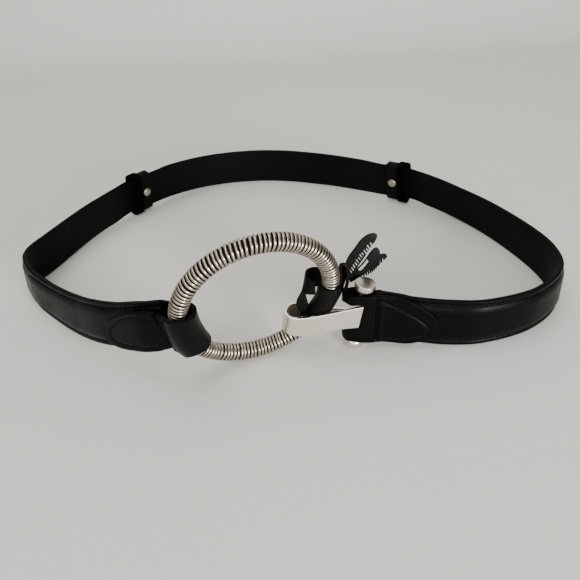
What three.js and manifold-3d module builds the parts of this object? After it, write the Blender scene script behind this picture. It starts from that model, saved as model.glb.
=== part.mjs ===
// A leather belt standing on its edge, closed at the front by a ring and a hook. Millimetres, +Z up, with
// the front towards -Y. The origin is on the floor, under the middle of the belt's box.
import * as THREE from 'three';
import { mergeVertices } from 'three/addons/utils/BufferGeometryUtils.js';
import Module from 'manifold-3d';

const wasm = await Module();
wasm.setup();

// Driving sizes.
const clearance = 0.3;
const strap = { height: 26.4, thick: 3.8, thin: 2.0, bevel: 0.9 }; // thin is the thickness of its skived ends
const tongue = { thick: 2.0, bevel: 0.5 };
const overlap = 2; // how far a side strap runs on behind the back strap
const ring = {
  centre: new THREE.Vector3(-10.7, -108.2, 40.5),
  turn: 17.6, // degrees that the ring's face turns to the right of straight ahead
  tip: 14.4, // degrees that its top leans towards the front
  middle: 37.0, // radius of the wire's centre line
  wire: 4.5, // radius over the winding
};
const hook = { thick: 1.8, bevel: 0.3, eyeInner: 2.3, eyeOuter: 3.6, eyeHeight: 6.2, eyeMiddle: 18.5 };
const pin = {
  foot: new THREE.Vector3(36.2, -94.2, 1.0),
  top: new THREE.Vector3(42.0, -95.0, 38.6),
  shaft: 1.9,
  head: 5.3,
  headThick: 4.0,
  dome: 1.6, // height of the rounded part of a head, on the shaft's side
};
const keeper = { width: 15, wall: 1.0, room: 0.75 };
const stud = { radius: 3.1, height: 1.5, aside: 3 }; // aside is how far it sits from its keeper's middle
const thong = { thick: 1.2, bevel: 0.3 };

const up = new THREE.Vector3(0, 0, 1);

// Rows of plain numbers under their column names.
function table(columns, rows) {
  return rows.map((row) => Object.fromEntries(row.map((value, i) => [columns[i], value])));
}

// The strap's way round, clockwise from above, from the left tab to the right one. x and y are the middle
// of its thickness, foot is how far its lower edge stands off the floor, and lean is how far its upper edge
// tips outwards.
const route = table(['x', 'y', 'foot', 'lean'], [
  [-48.5, -113.2, 21.5, 0.0],
  [-63.5, -110.8, 19.0, 0.0],
  [-72.0, -106.4, 16.2, -0.4],
  [-79.6, -101.8, 12.8, -1.0],
  [-92.7, -93.4, 8.4, -2.0],
  [-107.6, -80.3, 3.4, -2.0],
  [-125.5, -62.9, 0.2, -1.0],
  [-143.7, -44.3, 0.0, -0.6],
  [-154.9, -24.7, 0.0, -3.2],
  [-147.0, -0.1, 0.0, -2.2],
  [-127.0, 43.3, 1.4, -4.0],
  [-95.8, 82.3, 2.9, -3.5],
  [-58.6, 110.5, 0.8, -2.2],
  [-18.0, 118.1, 0.0, -1.5],
  [26.3, 107.8, 0.0, -1.8],
  [65.1, 82.1, 3.0, -3.8],
  [102.3, 58.6, 2.8, -6.0],
  [129.3, 28.3, 0.3, -5.5],
  [146.9, -10.4, 0.0, -3.3],
  [155.5, -48.4, 0.0, -1.4],
  [151.0, -72.1, 0.0, -1.0],
  [130.4, -90.7, 0.0, 0.0],
  [101.7, -100.0, 0.2, -1.0],
  [84.6, -100.0, 0.4, -2.2],
  [74.4, -98.9, 1.2, -2.2],
  [64.5, -97.5, 2.6, -1.6],
  [55.0, -95.6, 4.6, -0.8],
  [47.5, -95.2, 5.6, 0.0],
]);
const keeperAt = { left: 10.77, right: 15.65 }; // places along the route, counted in rows

// Closed solid through a list of sections, each a loop of the same even number of points. The loop's second
// and third points are its lower end, and each end of the solid is closed by rungs from one long side to
// the other.
function loft(sections) {
  const count = sections[0].length;
  const last = (sections.length - 1) * count;
  const index = [];
  for (let i = 0; i + 1 < sections.length; i += 1) {
    for (let j = 0; j < count; j += 1) {
      const a = i * count + j;
      const b = i * count + ((j + 1) % count);
      index.push(a, b, b + count, a, b + count, a + count);
    }
  }
  for (let rung = 0; rung + 1 < count / 2; rung += 1) {
    const [left, right] = [(count + 1 - rung) % count, 2 + rung];
    const [nextLeft, nextRight] = [(count - rung) % count, 3 + rung];
    index.push(right, left, nextLeft, nextRight, right, nextLeft);
    index.push(last + nextLeft, last + left, last + right, last + nextLeft, last + right, last + nextRight);
  }
  const geometry = new THREE.BufferGeometry().setFromPoints(sections.flat());
  geometry.setIndex(index);
  if (volume(geometry) < 0) {
    for (let i = 0; i < index.length; i += 3) {
      [index[i + 1], index[i + 2]] = [index[i + 2], index[i + 1]];
    }
    geometry.setIndex(index);
  }
  return geometry;
}

// Signed volume of a closed mesh: positive where its faces point out.
function volume(geometry) {
  const { position } = geometry.attributes;
  const at = (i) => new THREE.Vector3().fromBufferAttribute(position, geometry.index.getX(i));
  let sum = 0;
  for (let i = 0; i < geometry.index.count; i += 3) {
    sum += at(i).dot(at(i + 1).cross(at(i + 2))) / 6;
  }
  return sum;
}

// A band through edges that run side by side, the lowest first, each a list of points. Its section has
// bevelled corners, and the middle of its thickness lies on the edges. thick is one number, or one for each
// section.
function band(edges, thick, bevel) {
  const last = edges[0].length - 1;
  const top = edges.length - 1;
  return loft(edges[0].map((_, i) => {
    const back = Math.max(i - 1, 0);
    const on = Math.min(i + 1, last);
    const side = edges[top][i].clone().sub(edges[0][i]);
    const ahead = edges[0][on].clone().add(edges[top][on]).sub(edges[0][back]).sub(edges[top][back]);
    const out = side.clone().cross(ahead).normalize();
    side.normalize();
    const corner = (edge, across, along) => edges[edge][i].clone()
      .addScaledVector(out, across).addScaledVector(side, along);
    const half = (Array.isArray(thick) ? thick[i] : thick) / 2;
    const between = (across) => edges.slice(1, -1).map((_, k) => corner(k + 1, across, 0));
    return [
      corner(0, -half, bevel), corner(0, bevel - half, 0), corner(0, half - bevel, 0), corner(0, half, bevel),
      ...between(half), corner(top, half, -bevel), corner(top, half - bevel, 0),
      corner(top, bevel - half, 0), corner(top, -half, -bevel), ...between(-half).reverse(),
    ];
  }));
}

// The edges of a band given by rows, each with one x, y, z for every edge.
function edgesOf(rows, steps) {
  return [['x', 'y', 'z'], ['x2', 'y2', 'z2']].map((names) => (
    smooth(rows.map((row) => new THREE.Vector3(...names.map((name) => row[name]))), steps)));
}

const routeCurve = new THREE.CatmullRomCurve3(route.map((row) => new THREE.Vector3(row.x, row.y, row.foot)));

// The route's place at a number of rows: its point, the way on, the way out of the loop, its foot and its
// lean.
function onRoute(at) {
  const u = at / (route.length - 1);
  const point = routeCurve.getPoint(u);
  const ahead = routeCurve.getTangent(u).setZ(0).normalize();
  const row = Math.min(Math.floor(at), route.length - 2);
  return {
    point,
    ahead,
    out: up.clone().cross(ahead),
    foot: Math.max(point.z, 0),
    lean: THREE.MathUtils.lerp(route[row].lean, route[row + 1].lean, at - row),
  };
}

// A point on or off the strap: a place on the route, how far outside the route it lies, and how far up the
// strap's leaning face. A leaning strap is lifted so that its lower corner, and not its middle, meets the
// floor.
function offStrap(place, outside, upFace) {
  const rise = up.clone().multiplyScalar(strap.height).addScaledVector(place.out, place.lean).normalize();
  const lift = Math.abs(rise.dot(place.out)) * (strap.thick / 2);
  return place.point.clone().addScaledVector(place.out, outside).setZ(place.foot + lift)
    .addScaledVector(rise, upFace);
}

// A length of strap. skived(at) is how far it is thinned at a place, from 0 to 1, to share its thickness
// with another layer. side is 1 for the layer outside, which is thinned from its inner face, and -1 for the
// one inside.
function strapBand(from, to, steps, side, skived) {
  const places = Array.from({ length: steps + 1 }, (_, i) => from + ((to - from) * i) / steps);
  const outside = (at) => side * skived(at) * layerMiddle;
  const edges = [0, strap.height].map((upFace) => (
    places.map((at) => offStrap(onRoute(at), outside(at), upFace))));
  const thick = places.map((at) => THREE.MathUtils.lerp(strap.thick, strap.thin, skived(at)));
  return band(edges, thick, strap.bevel);
}

// How many rows a length along the route takes near a place.
function rowsFor(length, at) {
  const step = 0.05;
  const near = routeCurve.getPoint((at - step) / (route.length - 1));
  return (length * 2 * step) / near.distanceTo(routeCurve.getPoint((at + step) / (route.length - 1)));
}

// A side strap thins before the back strap's end and runs on outside it. The back strap is thin as far as
// that.
const layerMiddle = (strap.thin + clearance) / 2; // how far a skived layer's middle lies off the route
const halfKeeper = keeper.width / 2;
const backEnd = halfKeeper + 1; // how far the back strap's end stands out of its keeper's middle
const skive = { length: 16, spare: 3 }; // the taper's length, and its distance from the other's end

// The share of a taper that is done at a place, for one that starts a length past a keeper's middle. way is
// 1 where it grows along the route, and -1 where it grows against it.
function taper(at, keeperPlace, away, way) {
  const from = keeperPlace + way * rowsFor(away, keeperPlace);
  const to = from + way * rowsFor(skive.length, keeperPlace);
  return THREE.MathUtils.smoothstep(way * at, way * from, way * to);
}

function sideStrap(name, from, keeperPlace, way) {
  const to = keeperPlace + way * rowsFor(halfKeeper + overlap, keeperPlace);
  const skived = (at) => taper(at, keeperPlace, -(backEnd + skive.spare + skive.length), way);
  const stepsPerRow = 4;
  return piece(name, strapBand(from, to, Math.round(Math.abs(to - from) * stepsPerRow), 1, skived), leather);
}

function backStrap() {
  const from = keeperAt.left - rowsFor(backEnd, keeperAt.left);
  const to = keeperAt.right + rowsFor(backEnd, keeperAt.right);
  const away = halfKeeper + overlap + skive.spare;
  const skived = (at) => 1 - taper(at, keeperAt.left, away, 1) * taper(at, keeperAt.right, away, -1);
  return piece('strap_back', strapBand(from, to, 24, -1, skived), leather);
}

// A solid of the joining library from a closed geometry, and back.
function solid(geometry) {
  const bare = geometry.clone();
  bare.deleteAttribute('normal');
  bare.deleteAttribute('uv');
  const whole = mergeVertices(bare, 1e-4);
  return new wasm.Manifold(new wasm.Mesh({
    numProp: 3,
    vertProperties: new Float32Array(whole.attributes.position.array),
    triVerts: new Uint32Array(whole.index.array),
  }));
}

function fromSolid(body) {
  const mesh = body.getMesh();
  const geometry = new THREE.BufferGeometry();
  geometry.setAttribute('position', new THREE.BufferAttribute(mesh.vertProperties, 3));
  geometry.setIndex(new THREE.BufferAttribute(mesh.triVerts, 1));
  return geometry;
}

// A place's own axes, along the strap, out of the loop and up its leaning face, with their centre half way
// up the strap and a distance outside the route.
function axesAt(place, outside) {
  const centre = offStrap(place, outside, strap.height / 2);
  const rise = centre.clone().sub(offStrap(place, outside, 0)).normalize();
  const out = rise.clone().cross(place.ahead);
  return new THREE.Matrix4().makeBasis(place.ahead, out, rise).setPosition(centre);
}

// A keeper is a flat leather loop round both layers.
function keeperLoop(name, at) {
  const axes = axesAt(onRoute(at), 0);
  const deep = 2 * strap.thin + clearance + 2 * keeper.room;
  const tall = strap.height + 2 * keeper.room;
  const box = (along, out, rise) => solid(new THREE.BoxGeometry(along, out, rise).applyMatrix4(axes));
  const outer = box(keeper.width, deep + 2 * keeper.wall, tall + 2 * keeper.wall);
  return piece(name, fromSolid(outer.subtract(box(2 * keeper.width, deep, tall))), leather);
}

// A dome stud on the keeper's inner face, turned on its own axis and pointed at the middle of the loop. way
// is 1 where the back strap's middle lies on along the route, and -1 where it lies back.
function studDome(name, at, way) {
  const profile = [new THREE.Vector2(0, 0), new THREE.Vector2(stud.radius, 0)];
  const steps = 5;
  for (let i = 1; i <= steps; i += 1) {
    const angle = (i / steps) * (Math.PI / 2);
    profile.push(new THREE.Vector2(
      i === steps ? 0 : stud.radius * Math.cos(angle), 0.3 + (stud.height - 0.3) * Math.sin(angle)));
  }
  const inward = new THREE.Matrix4().makeRotationZ(Math.PI);
  const face = -(strap.thin + clearance / 2 + keeper.room + keeper.wall + clearance);
  const axes = axesAt(onRoute(at), face).multiply(inward.setPosition(way * stud.aside, 0, 0));
  return piece(name, new THREE.LatheGeometry(profile, 16).applyMatrix4(axes), silver);
}

// The ring's own axes: right and rise lie in its plane, and facing looks out of its front.
const turn = THREE.MathUtils.degToRad(ring.turn);
const tip = THREE.MathUtils.degToRad(ring.tip);
const ringRight = new THREE.Vector3(Math.cos(turn), Math.sin(turn), 0);
const ringFacing = new THREE.Vector3(
  Math.sin(turn) * Math.cos(tip), -Math.cos(turn) * Math.cos(tip), -Math.sin(tip));
const ringRise = ringFacing.clone().cross(ringRight).normalize();

// Outward direction at an angle round the ring, counted from its right side up over the top.
function ringOut(degrees) {
  const angle = THREE.MathUtils.degToRad(degrees);
  return ringRight.clone().multiplyScalar(Math.cos(angle)).addScaledVector(ringRise, Math.sin(angle));
}

function ringPoint(degrees) {
  return ring.centre.clone().addScaledVector(ringOut(degrees), ring.middle);
}

function woundRing() {
  const geometry = new THREE.TorusGeometry(ring.middle, ring.wire, 12, 72);
  const axes = new THREE.Matrix4().makeBasis(ringRight, ringRise, ringFacing).setPosition(ring.centre);
  geometry.applyMatrix4(axes);
  return piece('ring', geometry, wire);
}

// Points round the ring's tube at one place of it. swing counts from the side that faces the ring's middle,
// and is positive towards the front.
function roundTube(ringAngle, radius, swing) {
  const angle = THREE.MathUtils.degToRad(swing);
  return ringPoint(ringAngle).addScaledVector(ringOut(ringAngle), -radius * Math.cos(angle))
    .addScaledVector(ringFacing, radius * Math.sin(angle));
}

// The left tab: one band of leather that lies on the strap's back, goes behind the ring's tube and round
// its front, and comes back along the strap's front as a stitched tongue. Along the strap its edges are
// given by rows: a place on the route and a height up the strap's face for the lower edge, and the same for
// the upper one. Round the tube its rows give the swing and the places on the ring of the two edges.
const strapStart = 0.5;
const edgePlaces = ['lowAt', 'low', 'highAt', 'high'];
const tabLeft = {
  radius: ring.wire + 1.5 + tongue.thick / 2,
  least: ring.wire + 0.7 + tongue.thick / 2, // least distance of its middle edge from the tube's centre line
  straight: 0.5, // how far the middle edge leaves the ring's curve for a straight line, as a share
  back: table(edgePlaces, [
    [2.62, 2.0, 2.68, 23.2],
    [2.3, -0.2, 2.35, 24.6],
    [1.6, -0.6, 1.6, 25.0],
    [1.0, -0.6, 1.0, 24.8],
    [0.5, -0.2, 0.45, 24.6],
  ]),
  round: table(['swing', 'lowAngle', 'highAngle'], [
    [-95, 214, 172],
    [-55, 216, 171],
    [-25, 217, 169],
    [0, 217.5, 167],
    [20, 217, 168],
    [40, 216, 168],
    [65, 213, 167],
    [90, 210.5, 167],
    [115, 210, 168.5],
    [140, 211, 170.5],
  ]),
  front: table(edgePlaces, [
    [0.2, 0.8, 0.5, 22.8],
    [0.6, 0.0, 0.75, 23.6],
    [1.1, -0.2, 1.1, 23.6],
    [1.7, 0.0, 1.7, 22.6],
    [2.3, 0.6, 2.3, 21.4],
    [2.9, 2.2, 2.9, 19.6],
    [3.25, 4.8, 3.25, 16.8],
    [3.42, 8.4, 3.42, 13.2],
  ]),
};

// The three edges of a band that lies along the strap: its lower one, its middle and its upper one.
function edgesOnStrap(rows, outside) {
  const low = rows.map((row) => offStrap(onRoute(row.lowAt), outside, row.low));
  const high = rows.map((row) => offStrap(onRoute(row.highAt), outside, row.high));
  return [low, low.map((point, i) => point.clone().lerp(high[i], 0.5)), high];
}

// The left tab's three edges round the ring's tube. Half way up it the leather keeps straighter than the
// ring on the ring's inner side, and clears the winding on the outer side.
function edgesRoundTube(rows) {
  const low = rows.map((row) => roundTube(row.lowAngle, tabLeft.radius, row.swing));
  const high = rows.map((row) => roundTube(row.highAngle, tabLeft.radius, row.swing));
  const middle = rows.map((row) => {
    const half = THREE.MathUtils.degToRad((row.lowAngle - row.highAngle) / 2);
    const inwards = Math.cos(THREE.MathUtils.degToRad(row.swing)) * tabLeft.straight;
    const radius = tabLeft.radius + ring.middle * (1 - Math.cos(half)) * inwards;
    return roundTube((row.lowAngle + row.highAngle) / 2, Math.max(radius, tabLeft.least), row.swing);
  });
  return [low, middle, high];
}

function leftTab() {
  const outside = (strap.thick + tongue.thick) / 2 + clearance;
  const back = edgesOnStrap(tabLeft.back, -outside);
  const round = edgesRoundTube(tabLeft.round);
  const front = edgesOnStrap(tabLeft.front, outside);
  const edges = back.map((edge, i) => [...edge, ...round[i], ...front[i]]);
  return piece('tab_left', band(edges, tongue.thick, tongue.bevel), leather);
}

// The right tab: one piece of leather that lies on the strap's back, folds round the pin and comes back
// along the strap's front as a stitched tongue. The fold's rows are upright lines. The hook's slot is cut
// through it: it is tall in front, and lower and slanted behind, where only the hook's bar goes through. Its
// upper edge goes by the rows of slotFront and slotBehind.
const tabRight = {
  back: table(edgePlaces, [
    [24.8, 1.4, 24.8, 23.4],
    [25.1, -0.6, 25.1, 24.6],
    [25.9, -1.0, 25.9, 24.8],
    [26.9, -1.2, 26.9, 26.0],
  ]),
  fold: table(['x', 'y', 'low', 'high'], [
    [43.5, -91.2, 4.8, 32.2],
    [39.5, -90.3, 5.5, 32.6],
    [35.6, -90.5, 5.6, 33.0],
    [32.6, -92.2, 5.7, 33.2],
    [31.4, -94.8, 6.6, 33.0],
    [32.6, -97.4, 5.7, 33.2],
    [35.6, -99.0, 5.5, 33.0],
    [39.5, -99.5, 5.0, 32.8],
    [43.5, -99.4, 4.5, 32.4],
  ]),
  front: table(edgePlaces, [
    [26.95, -1.4, 26.95, 26.4],
    [26.0, -1.0, 26.0, 26.4],
    [25.2, 0.2, 25.2, 26.2],
    [24.7, 1.8, 24.7, 24.8],
    [24.2, 4.0, 24.2, 21.8],
    [23.8, 6.4, 23.8, 18.6],
    [23.58, 9.4, 23.58, 14.8],
  ]),
  slot: { low: 14.9, to: 43.2, split: -96.0 }, // split is the y where front and back parts meet
  slotFront: table(['x', 'high'], [
    [43.2, 30.2],
    [35.0, 28.4],
    [30.0, 30.4],
  ]),
  slotBehind: table(['x', 'high'], [
    [43.2, 22.4],
    [37.0, 22.8],
    [30.0, 30.4],
  ]),
};

function rightTab() {
  const outside = (strap.thick + tongue.thick) / 2 + clearance;
  const back = edgesOnStrap(tabRight.back, -outside);
  const front = edgesOnStrap(tabRight.front, outside);
  const fold = [0, 0.5, 1].map((share) => tabRight.fold.map((row) => (
    new THREE.Vector3(row.x, row.y, THREE.MathUtils.lerp(row.low, row.high, share)))));
  const edges = back.map((edge, i) => smooth([...edge, ...fold[i], ...front[i]], 2));
  const { slot, slotFront, slotBehind } = tabRight;
  const wide = 30;
  const cutter = (rows, from) => {
    const outline = new THREE.Shape([
      new THREE.Vector2(slot.to - wide, slot.low),
      new THREE.Vector2(slot.to, slot.low),
      ...rows.map((row) => new THREE.Vector2(row.x, row.high)),
      new THREE.Vector2(slot.to - wide, rows[rows.length - 1].high),
    ]);
    const block = new THREE.ExtrudeGeometry(outline, { depth: wide, bevelEnabled: false });
    return solid(block.rotateX(Math.PI / 2).translate(0, from + wide, 0));
  };
  const whole = solid(band(edges, tongue.thick, tongue.bevel));
  const open = whole.subtract(cutter(slotFront, slot.split - wide))
    .subtract(cutter(slotBehind, slot.split - clearance));
  return piece('tab_right', fromSolid(open), leather);
}

// Points on a smooth curve through a list, with a number of steps between each two.
function smooth(points, steps) {
  return new THREE.CatmullRomCurve3(points).getPoints((points.length - 1) * steps);
}

// The pin: a shaft between two button heads, as one turned piece with its flat faces outwards.
function buttonPin() {
  const axis = pin.top.clone().sub(pin.foot);
  const length = axis.length();
  const edge = 0.5;
  const half = (sign) => {
    const at = (z) => (sign > 0 ? z : length - z);
    const points = [
      new THREE.Vector2(0, at(0)),
      new THREE.Vector2(pin.head - edge, at(0)),
      new THREE.Vector2(pin.head, at(edge)),
      new THREE.Vector2(pin.head, at(pin.headThick - pin.dome)),
      new THREE.Vector2(pin.head - 0.5 * pin.dome, at(pin.headThick - 0.3 * pin.dome)),
      new THREE.Vector2(pin.shaft + 0.8, at(pin.headThick)),
      new THREE.Vector2(pin.shaft, at(pin.headThick)),
    ];
    return sign > 0 ? points : points.reverse();
  };
  const geometry = new THREE.LatheGeometry([...half(1), ...half(-1)], 24);
  const turned = new THREE.Quaternion().setFromUnitVectors(new THREE.Vector3(0, 1, 0), axis.normalize());
  geometry.applyQuaternion(turned).translate(pin.foot.x, pin.foot.y, pin.foot.z);
  return piece('pin', geometry, silver);
}

// Bands given by their two edges: x, y and z of the one and then of the other.
const edgeColumns = ['x', 'y', 'z', 'x2', 'y2', 'z2'];

// The hook: a flat strip bent back on itself, wide at the bend. Its front leg lies over the right tab, and
// its back leg narrows to a bar that ends in an eye round the pin.
const hookRows = table(edgeColumns, [
  [38.0, -101.6, 16.6, 40.4, -101.4, 29.0],
  [28.5, -101.6, 15.7, 28.8, -101.4, 27.0],
  [15.0, -101.8, 12.8, 18.9, -101.7, 25.4],
  [8.6, -101.7, 12.3, 9.1, -101.5, 24.1],
  [4.2, -100.3, 12.8, 5.0, -99.8, 24.1],
  [1.9, -95.6, 14.2, 3.0, -95.2, 24.3],
  [3.6, -90.2, 13.6, 4.6, -90.0, 24.3],
  [8.0, -88.2, 12.4, 8.6, -88.1, 24.2],
  [15.0, -88.0, 12.6, 14.6, -88.0, 22.8],
  [23.0, -88.3, 13.6, 23.0, -88.3, 19.4],
  [30.0, -90.4, 15.4, 30.0, -90.4, 20.8],
  [36.6, -93.4, 15.7, 36.8, -93.4, 21.2],
]);

function ringHook() {
  const strip = solid(band(edgesOf(hookRows, 3), hook.thick, hook.bevel));
  const axis = pin.top.clone().sub(pin.foot).normalize();
  const turned = new THREE.Quaternion().setFromUnitVectors(new THREE.Vector3(0, 1, 0), axis);
  const place = pin.foot.clone().addScaledVector(axis, (hook.eyeMiddle - pin.foot.z) / axis.z);
  const round = (radius, height) => solid(new THREE.CylinderGeometry(radius, radius, height, 24)
    .applyQuaternion(turned).translate(place.x, place.y, place.z));
  const eye = round(hook.eyeOuter, hook.eyeHeight);
  const bore = round(hook.eyeInner, 2 * hook.eyeHeight);
  return piece('hook', fromSolid(strip.add(eye).subtract(bore)), silver);
}

// The thong's wrap round the right of the ring. Its rows give the swing round the tube and the places on
// the ring of its two edges; in front its lower edge reaches down into the hook.
const wrapRows = table(['swing', 'lowAngle', 'highAngle'], [
  [150, 333.0, 362],
  [120, 330.0, 362],
  [90, 328.0, 362],
  [60, 325.0, 362],
  [30, 323.0, 362],
  [0, 324.0, 362],
  [-30, 327.0, 362],
  [-60, 332.0, 362],
  [-90, 337.5, 362],
  [-120, 337.5, 362],
  [-150, 337.5, 362],
]);

function ringWrap() {
  const radius = ring.wire + 2 * clearance + thong.thick / 2;
  const edges = [0, 0.5, 1].map((share) => smooth(wrapRows.map((row) => (
    roundTube(THREE.MathUtils.lerp(row.lowAngle, row.highAngle, share), radius, row.swing))), 1));
  return piece('ring_wrap', band(edges, thong.thick, thong.bevel), leather);
}

// The thong's other bands: the curl beside the ring, the fold that goes down into the hook, the band behind
// the ring that carries the tails, and the three tails.
const thongBands = {
  thong_curl: table(edgeColumns, [
    [21.0, -88.6, 33.4, 20.6, -88.6, 44.6],
    [16.0, -88.2, 33.4, 17.0, -88.4, 45.0],
    [12.0, -90.8, 33.8, 13.8, -90.6, 45.0],
    [11.4, -94.6, 34.6, 13.6, -94.4, 44.0],
    [13.6, -97.4, 35.2, 15.2, -96.8, 43.0],
    [17.2, -98.4, 35.6, 17.4, -98.0, 42.4],
  ]),
  thong_fold: table(edgeColumns, [
    [7.8, -95.2, 20.4, 10.8, -94.8, 21.2],
    [8.0, -95.1, 25.0, 12.2, -94.6, 26.0],
    [7.9, -94.9, 29.6, 12.4, -94.1, 29.6],
    [8.7, -94.6, 32.2, 11.8, -93.9, 32.4],
    [9.3, -94.7, 35.6, 10.0, -94.6, 36.0],
  ]),
  knot_band: table(edgeColumns, [
    [24.6, -88.6, 21.0, 27.0, -89.4, 20.8],
    [26.4, -88.5, 25.5, 29.2, -89.2, 25.2],
    [27.4, -88.3, 30.0, 30.8, -88.6, 29.4],
    [27.2, -88.4, 34.5, 32.4, -88.2, 33.6],
    [28.4, -89.6, 38.5, 34.0, -90.2, 38.6],
    [29.6, -91.6, 43.0, 34.2, -91.6, 43.4],
    [29.8, -92.4, 48.6, 33.4, -92.2, 48.6],
  ]),
  tail_long: table(edgeColumns, [
    [36.6, -90.4, 40.9, 32.2, -90.4, 46.4],
    [39.0, -90.0, 45.6, 33.6, -90.0, 50.4],
    [42.0, -89.4, 50.2, 36.7, -89.4, 54.9],
    [44.6, -88.6, 54.6, 40.0, -88.6, 59.2],
    [47.3, -87.8, 58.2, 43.4, -87.8, 61.4],
    [48.0, -87.0, 60.4, 46.4, -87.0, 61.6],
  ]),
  tail_mid: table(edgeColumns, [
    [35.4, -88.0, 34.4, 33.8, -88.4, 38.0],
    [40.6, -87.4, 37.4, 38.0, -87.4, 41.4],
    [44.6, -86.8, 40.1, 42.0, -86.8, 45.8],
    [48.1, -86.1, 44.0, 44.5, -86.1, 49.4],
    [50.0, -85.3, 48.5, 46.5, -85.3, 51.6],
    [49.5, -84.5, 51.0, 48.1, -84.5, 52.1],
  ]),
  tail_back: table(edgeColumns, [
    [37.6, -86.0, 34.6, 36.4, -86.2, 37.6],
    [44.7, -84.6, 36.3, 43.0, -84.8, 40.4],
    [47.8, -83.6, 38.0, 46.6, -83.8, 43.4],
    [50.8, -82.6, 41.0, 49.6, -82.6, 45.6],
    [53.3, -81.8, 43.2, 51.7, -81.8, 46.4],
    [54.6, -81.0, 44.2, 53.4, -81.0, 46.0],
  ]),
};

function thongBand(name) {
  return piece(name, band(edgesOf(thongBands[name], 3), thong.thick, thong.bevel), leather);
}

const leather = { color: 0x161514, roughness: 0.45, metalness: 0.0 };
const silver = { color: 0xcfccc6, roughness: 0.25, metalness: 1.0 };
const wire = { color: 0xa39c92, roughness: 0.35, metalness: 1.0 };

function piece(name, geometry, look) {
  const mesh = new THREE.Mesh(geometry, new THREE.MeshStandardMaterial(look));
  mesh.name = name;
  return mesh;
}

const belt = new THREE.Group();
belt.add(
  sideStrap('strap_left', strapStart, keeperAt.left, 1),
  sideStrap('strap_right', route.length - 1, keeperAt.right, -1),
  backStrap(),
  keeperLoop('keeper_left', keeperAt.left),
  keeperLoop('keeper_right', keeperAt.right),
  studDome('stud_left', keeperAt.left, 1),
  studDome('stud_right', keeperAt.right, -1),
  leftTab(),
  woundRing(),
  ringHook(),
  buttonPin(),
  rightTab(),
  ringWrap(),
  ...Object.keys(thongBands).map((name) => thongBand(name)),
);

// The tables count from a point of their own, and the origin goes under the middle of the belt's box.
belt.position.set(-0.3, 4.3, 0);

export default belt;
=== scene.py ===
"""A black leather belt that stands on its edge, closed at the front by a wire-wound ring and a flat hook.

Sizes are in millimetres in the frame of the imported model, with +Z up and the front towards -Y, and turn to
metres where a mesh is made."""

import logging
from collections.abc import Callable, Sequence
from dataclasses import dataclass, field
from enum import Enum, IntEnum

import bpy
import numpy as np
from mathutils import Matrix, Vector


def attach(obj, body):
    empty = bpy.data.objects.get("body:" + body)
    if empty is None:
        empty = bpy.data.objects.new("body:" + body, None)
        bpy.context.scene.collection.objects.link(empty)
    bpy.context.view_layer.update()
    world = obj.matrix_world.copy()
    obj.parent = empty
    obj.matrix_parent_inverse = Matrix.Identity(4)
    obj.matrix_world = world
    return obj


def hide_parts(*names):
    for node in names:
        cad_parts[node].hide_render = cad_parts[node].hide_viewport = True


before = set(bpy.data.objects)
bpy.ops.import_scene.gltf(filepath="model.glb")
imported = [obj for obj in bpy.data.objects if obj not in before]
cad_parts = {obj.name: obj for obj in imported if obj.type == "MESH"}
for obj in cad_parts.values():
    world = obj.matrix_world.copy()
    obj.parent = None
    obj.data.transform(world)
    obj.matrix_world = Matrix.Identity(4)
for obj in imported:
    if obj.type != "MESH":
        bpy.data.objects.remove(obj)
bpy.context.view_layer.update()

log = logging.getLogger("belt")

Array = np.ndarray
Displace = Callable[[Array, Array, Array], Array]
Table = Sequence[tuple[float, ...]]

MM = 0.001
BODY = "root"
CLEARANCE = 0.3  # the gap between one layer of leather and the next
UP = np.array([0.0, 0.0, 1.0])
TABLE_SHIFT = np.array([-0.3, 4.3, 0.0])  # from the point that the tables count from to the frame's origin
TINY = 1e-9  # what a length is held above before something is divided by it
ASLANT = np.array([0.3, 1.0, 0.2])  # a direction that no turned part's axis has
WELD_DECIMALS = 4  # points that agree to so many decimals are one
RIM_STEPS = 6  # steps in a rounded edge, and in a rounded corner
MOST_RIM = 0.45  # the largest share of a width that a rounded edge takes
CURVE_STEPS = 40  # steps in each stretch of a curve whose length is measured
SEAM_STEPS = 30  # steps in each stretch of a seam
EDGE_LIMIT = 0.93  # a face where less of the thickness is left has the edge's finish
NOISE_MIDDLE = {"From Min": 0.3, "From Max": 0.7}  # where most of a noise's values lie


class Slot(Enum):
    """The record's material slots."""

    LEATHER = "black_leather"
    SILVER = "silver_fittings"
    WOUND = "wound_wire"


class Side(IntEnum):
    """Which way a strap goes along the route, from its tab to its keeper."""

    LEFT = 1
    RIGHT = -1


class Face(IntEnum):
    """The faces of a band of leather, in the order of its materials."""

    OUTER = 0
    INNER = 1
    EDGE = 2


# Curves and grids.


def unit(vectors: Array) -> Array:
    """Vectors over their own lengths, so that each is one long."""
    return vectors / np.maximum(np.linalg.norm(vectors, axis=-1, keepdims=True), TINY)


def smooth_step(share: Array) -> Array:
    """A share, held between 0 and 1, with a smooth start and a smooth end."""
    share = np.clip(share, 0, 1)
    return share * share * (3 - 2 * share)


def bell(offset: Array, width: float) -> Array:
    """A bell curve: e to the power of minus the square of the offset over the width."""
    return np.exp(-(offset / width) ** 2)


def between(at: Array, places: Array, rows: Array) -> Array:
    """A table's rows at any places, on straight lines between its own rows."""
    return np.stack([np.interp(at, places, column) for column in rows.T], axis=-1)


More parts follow.
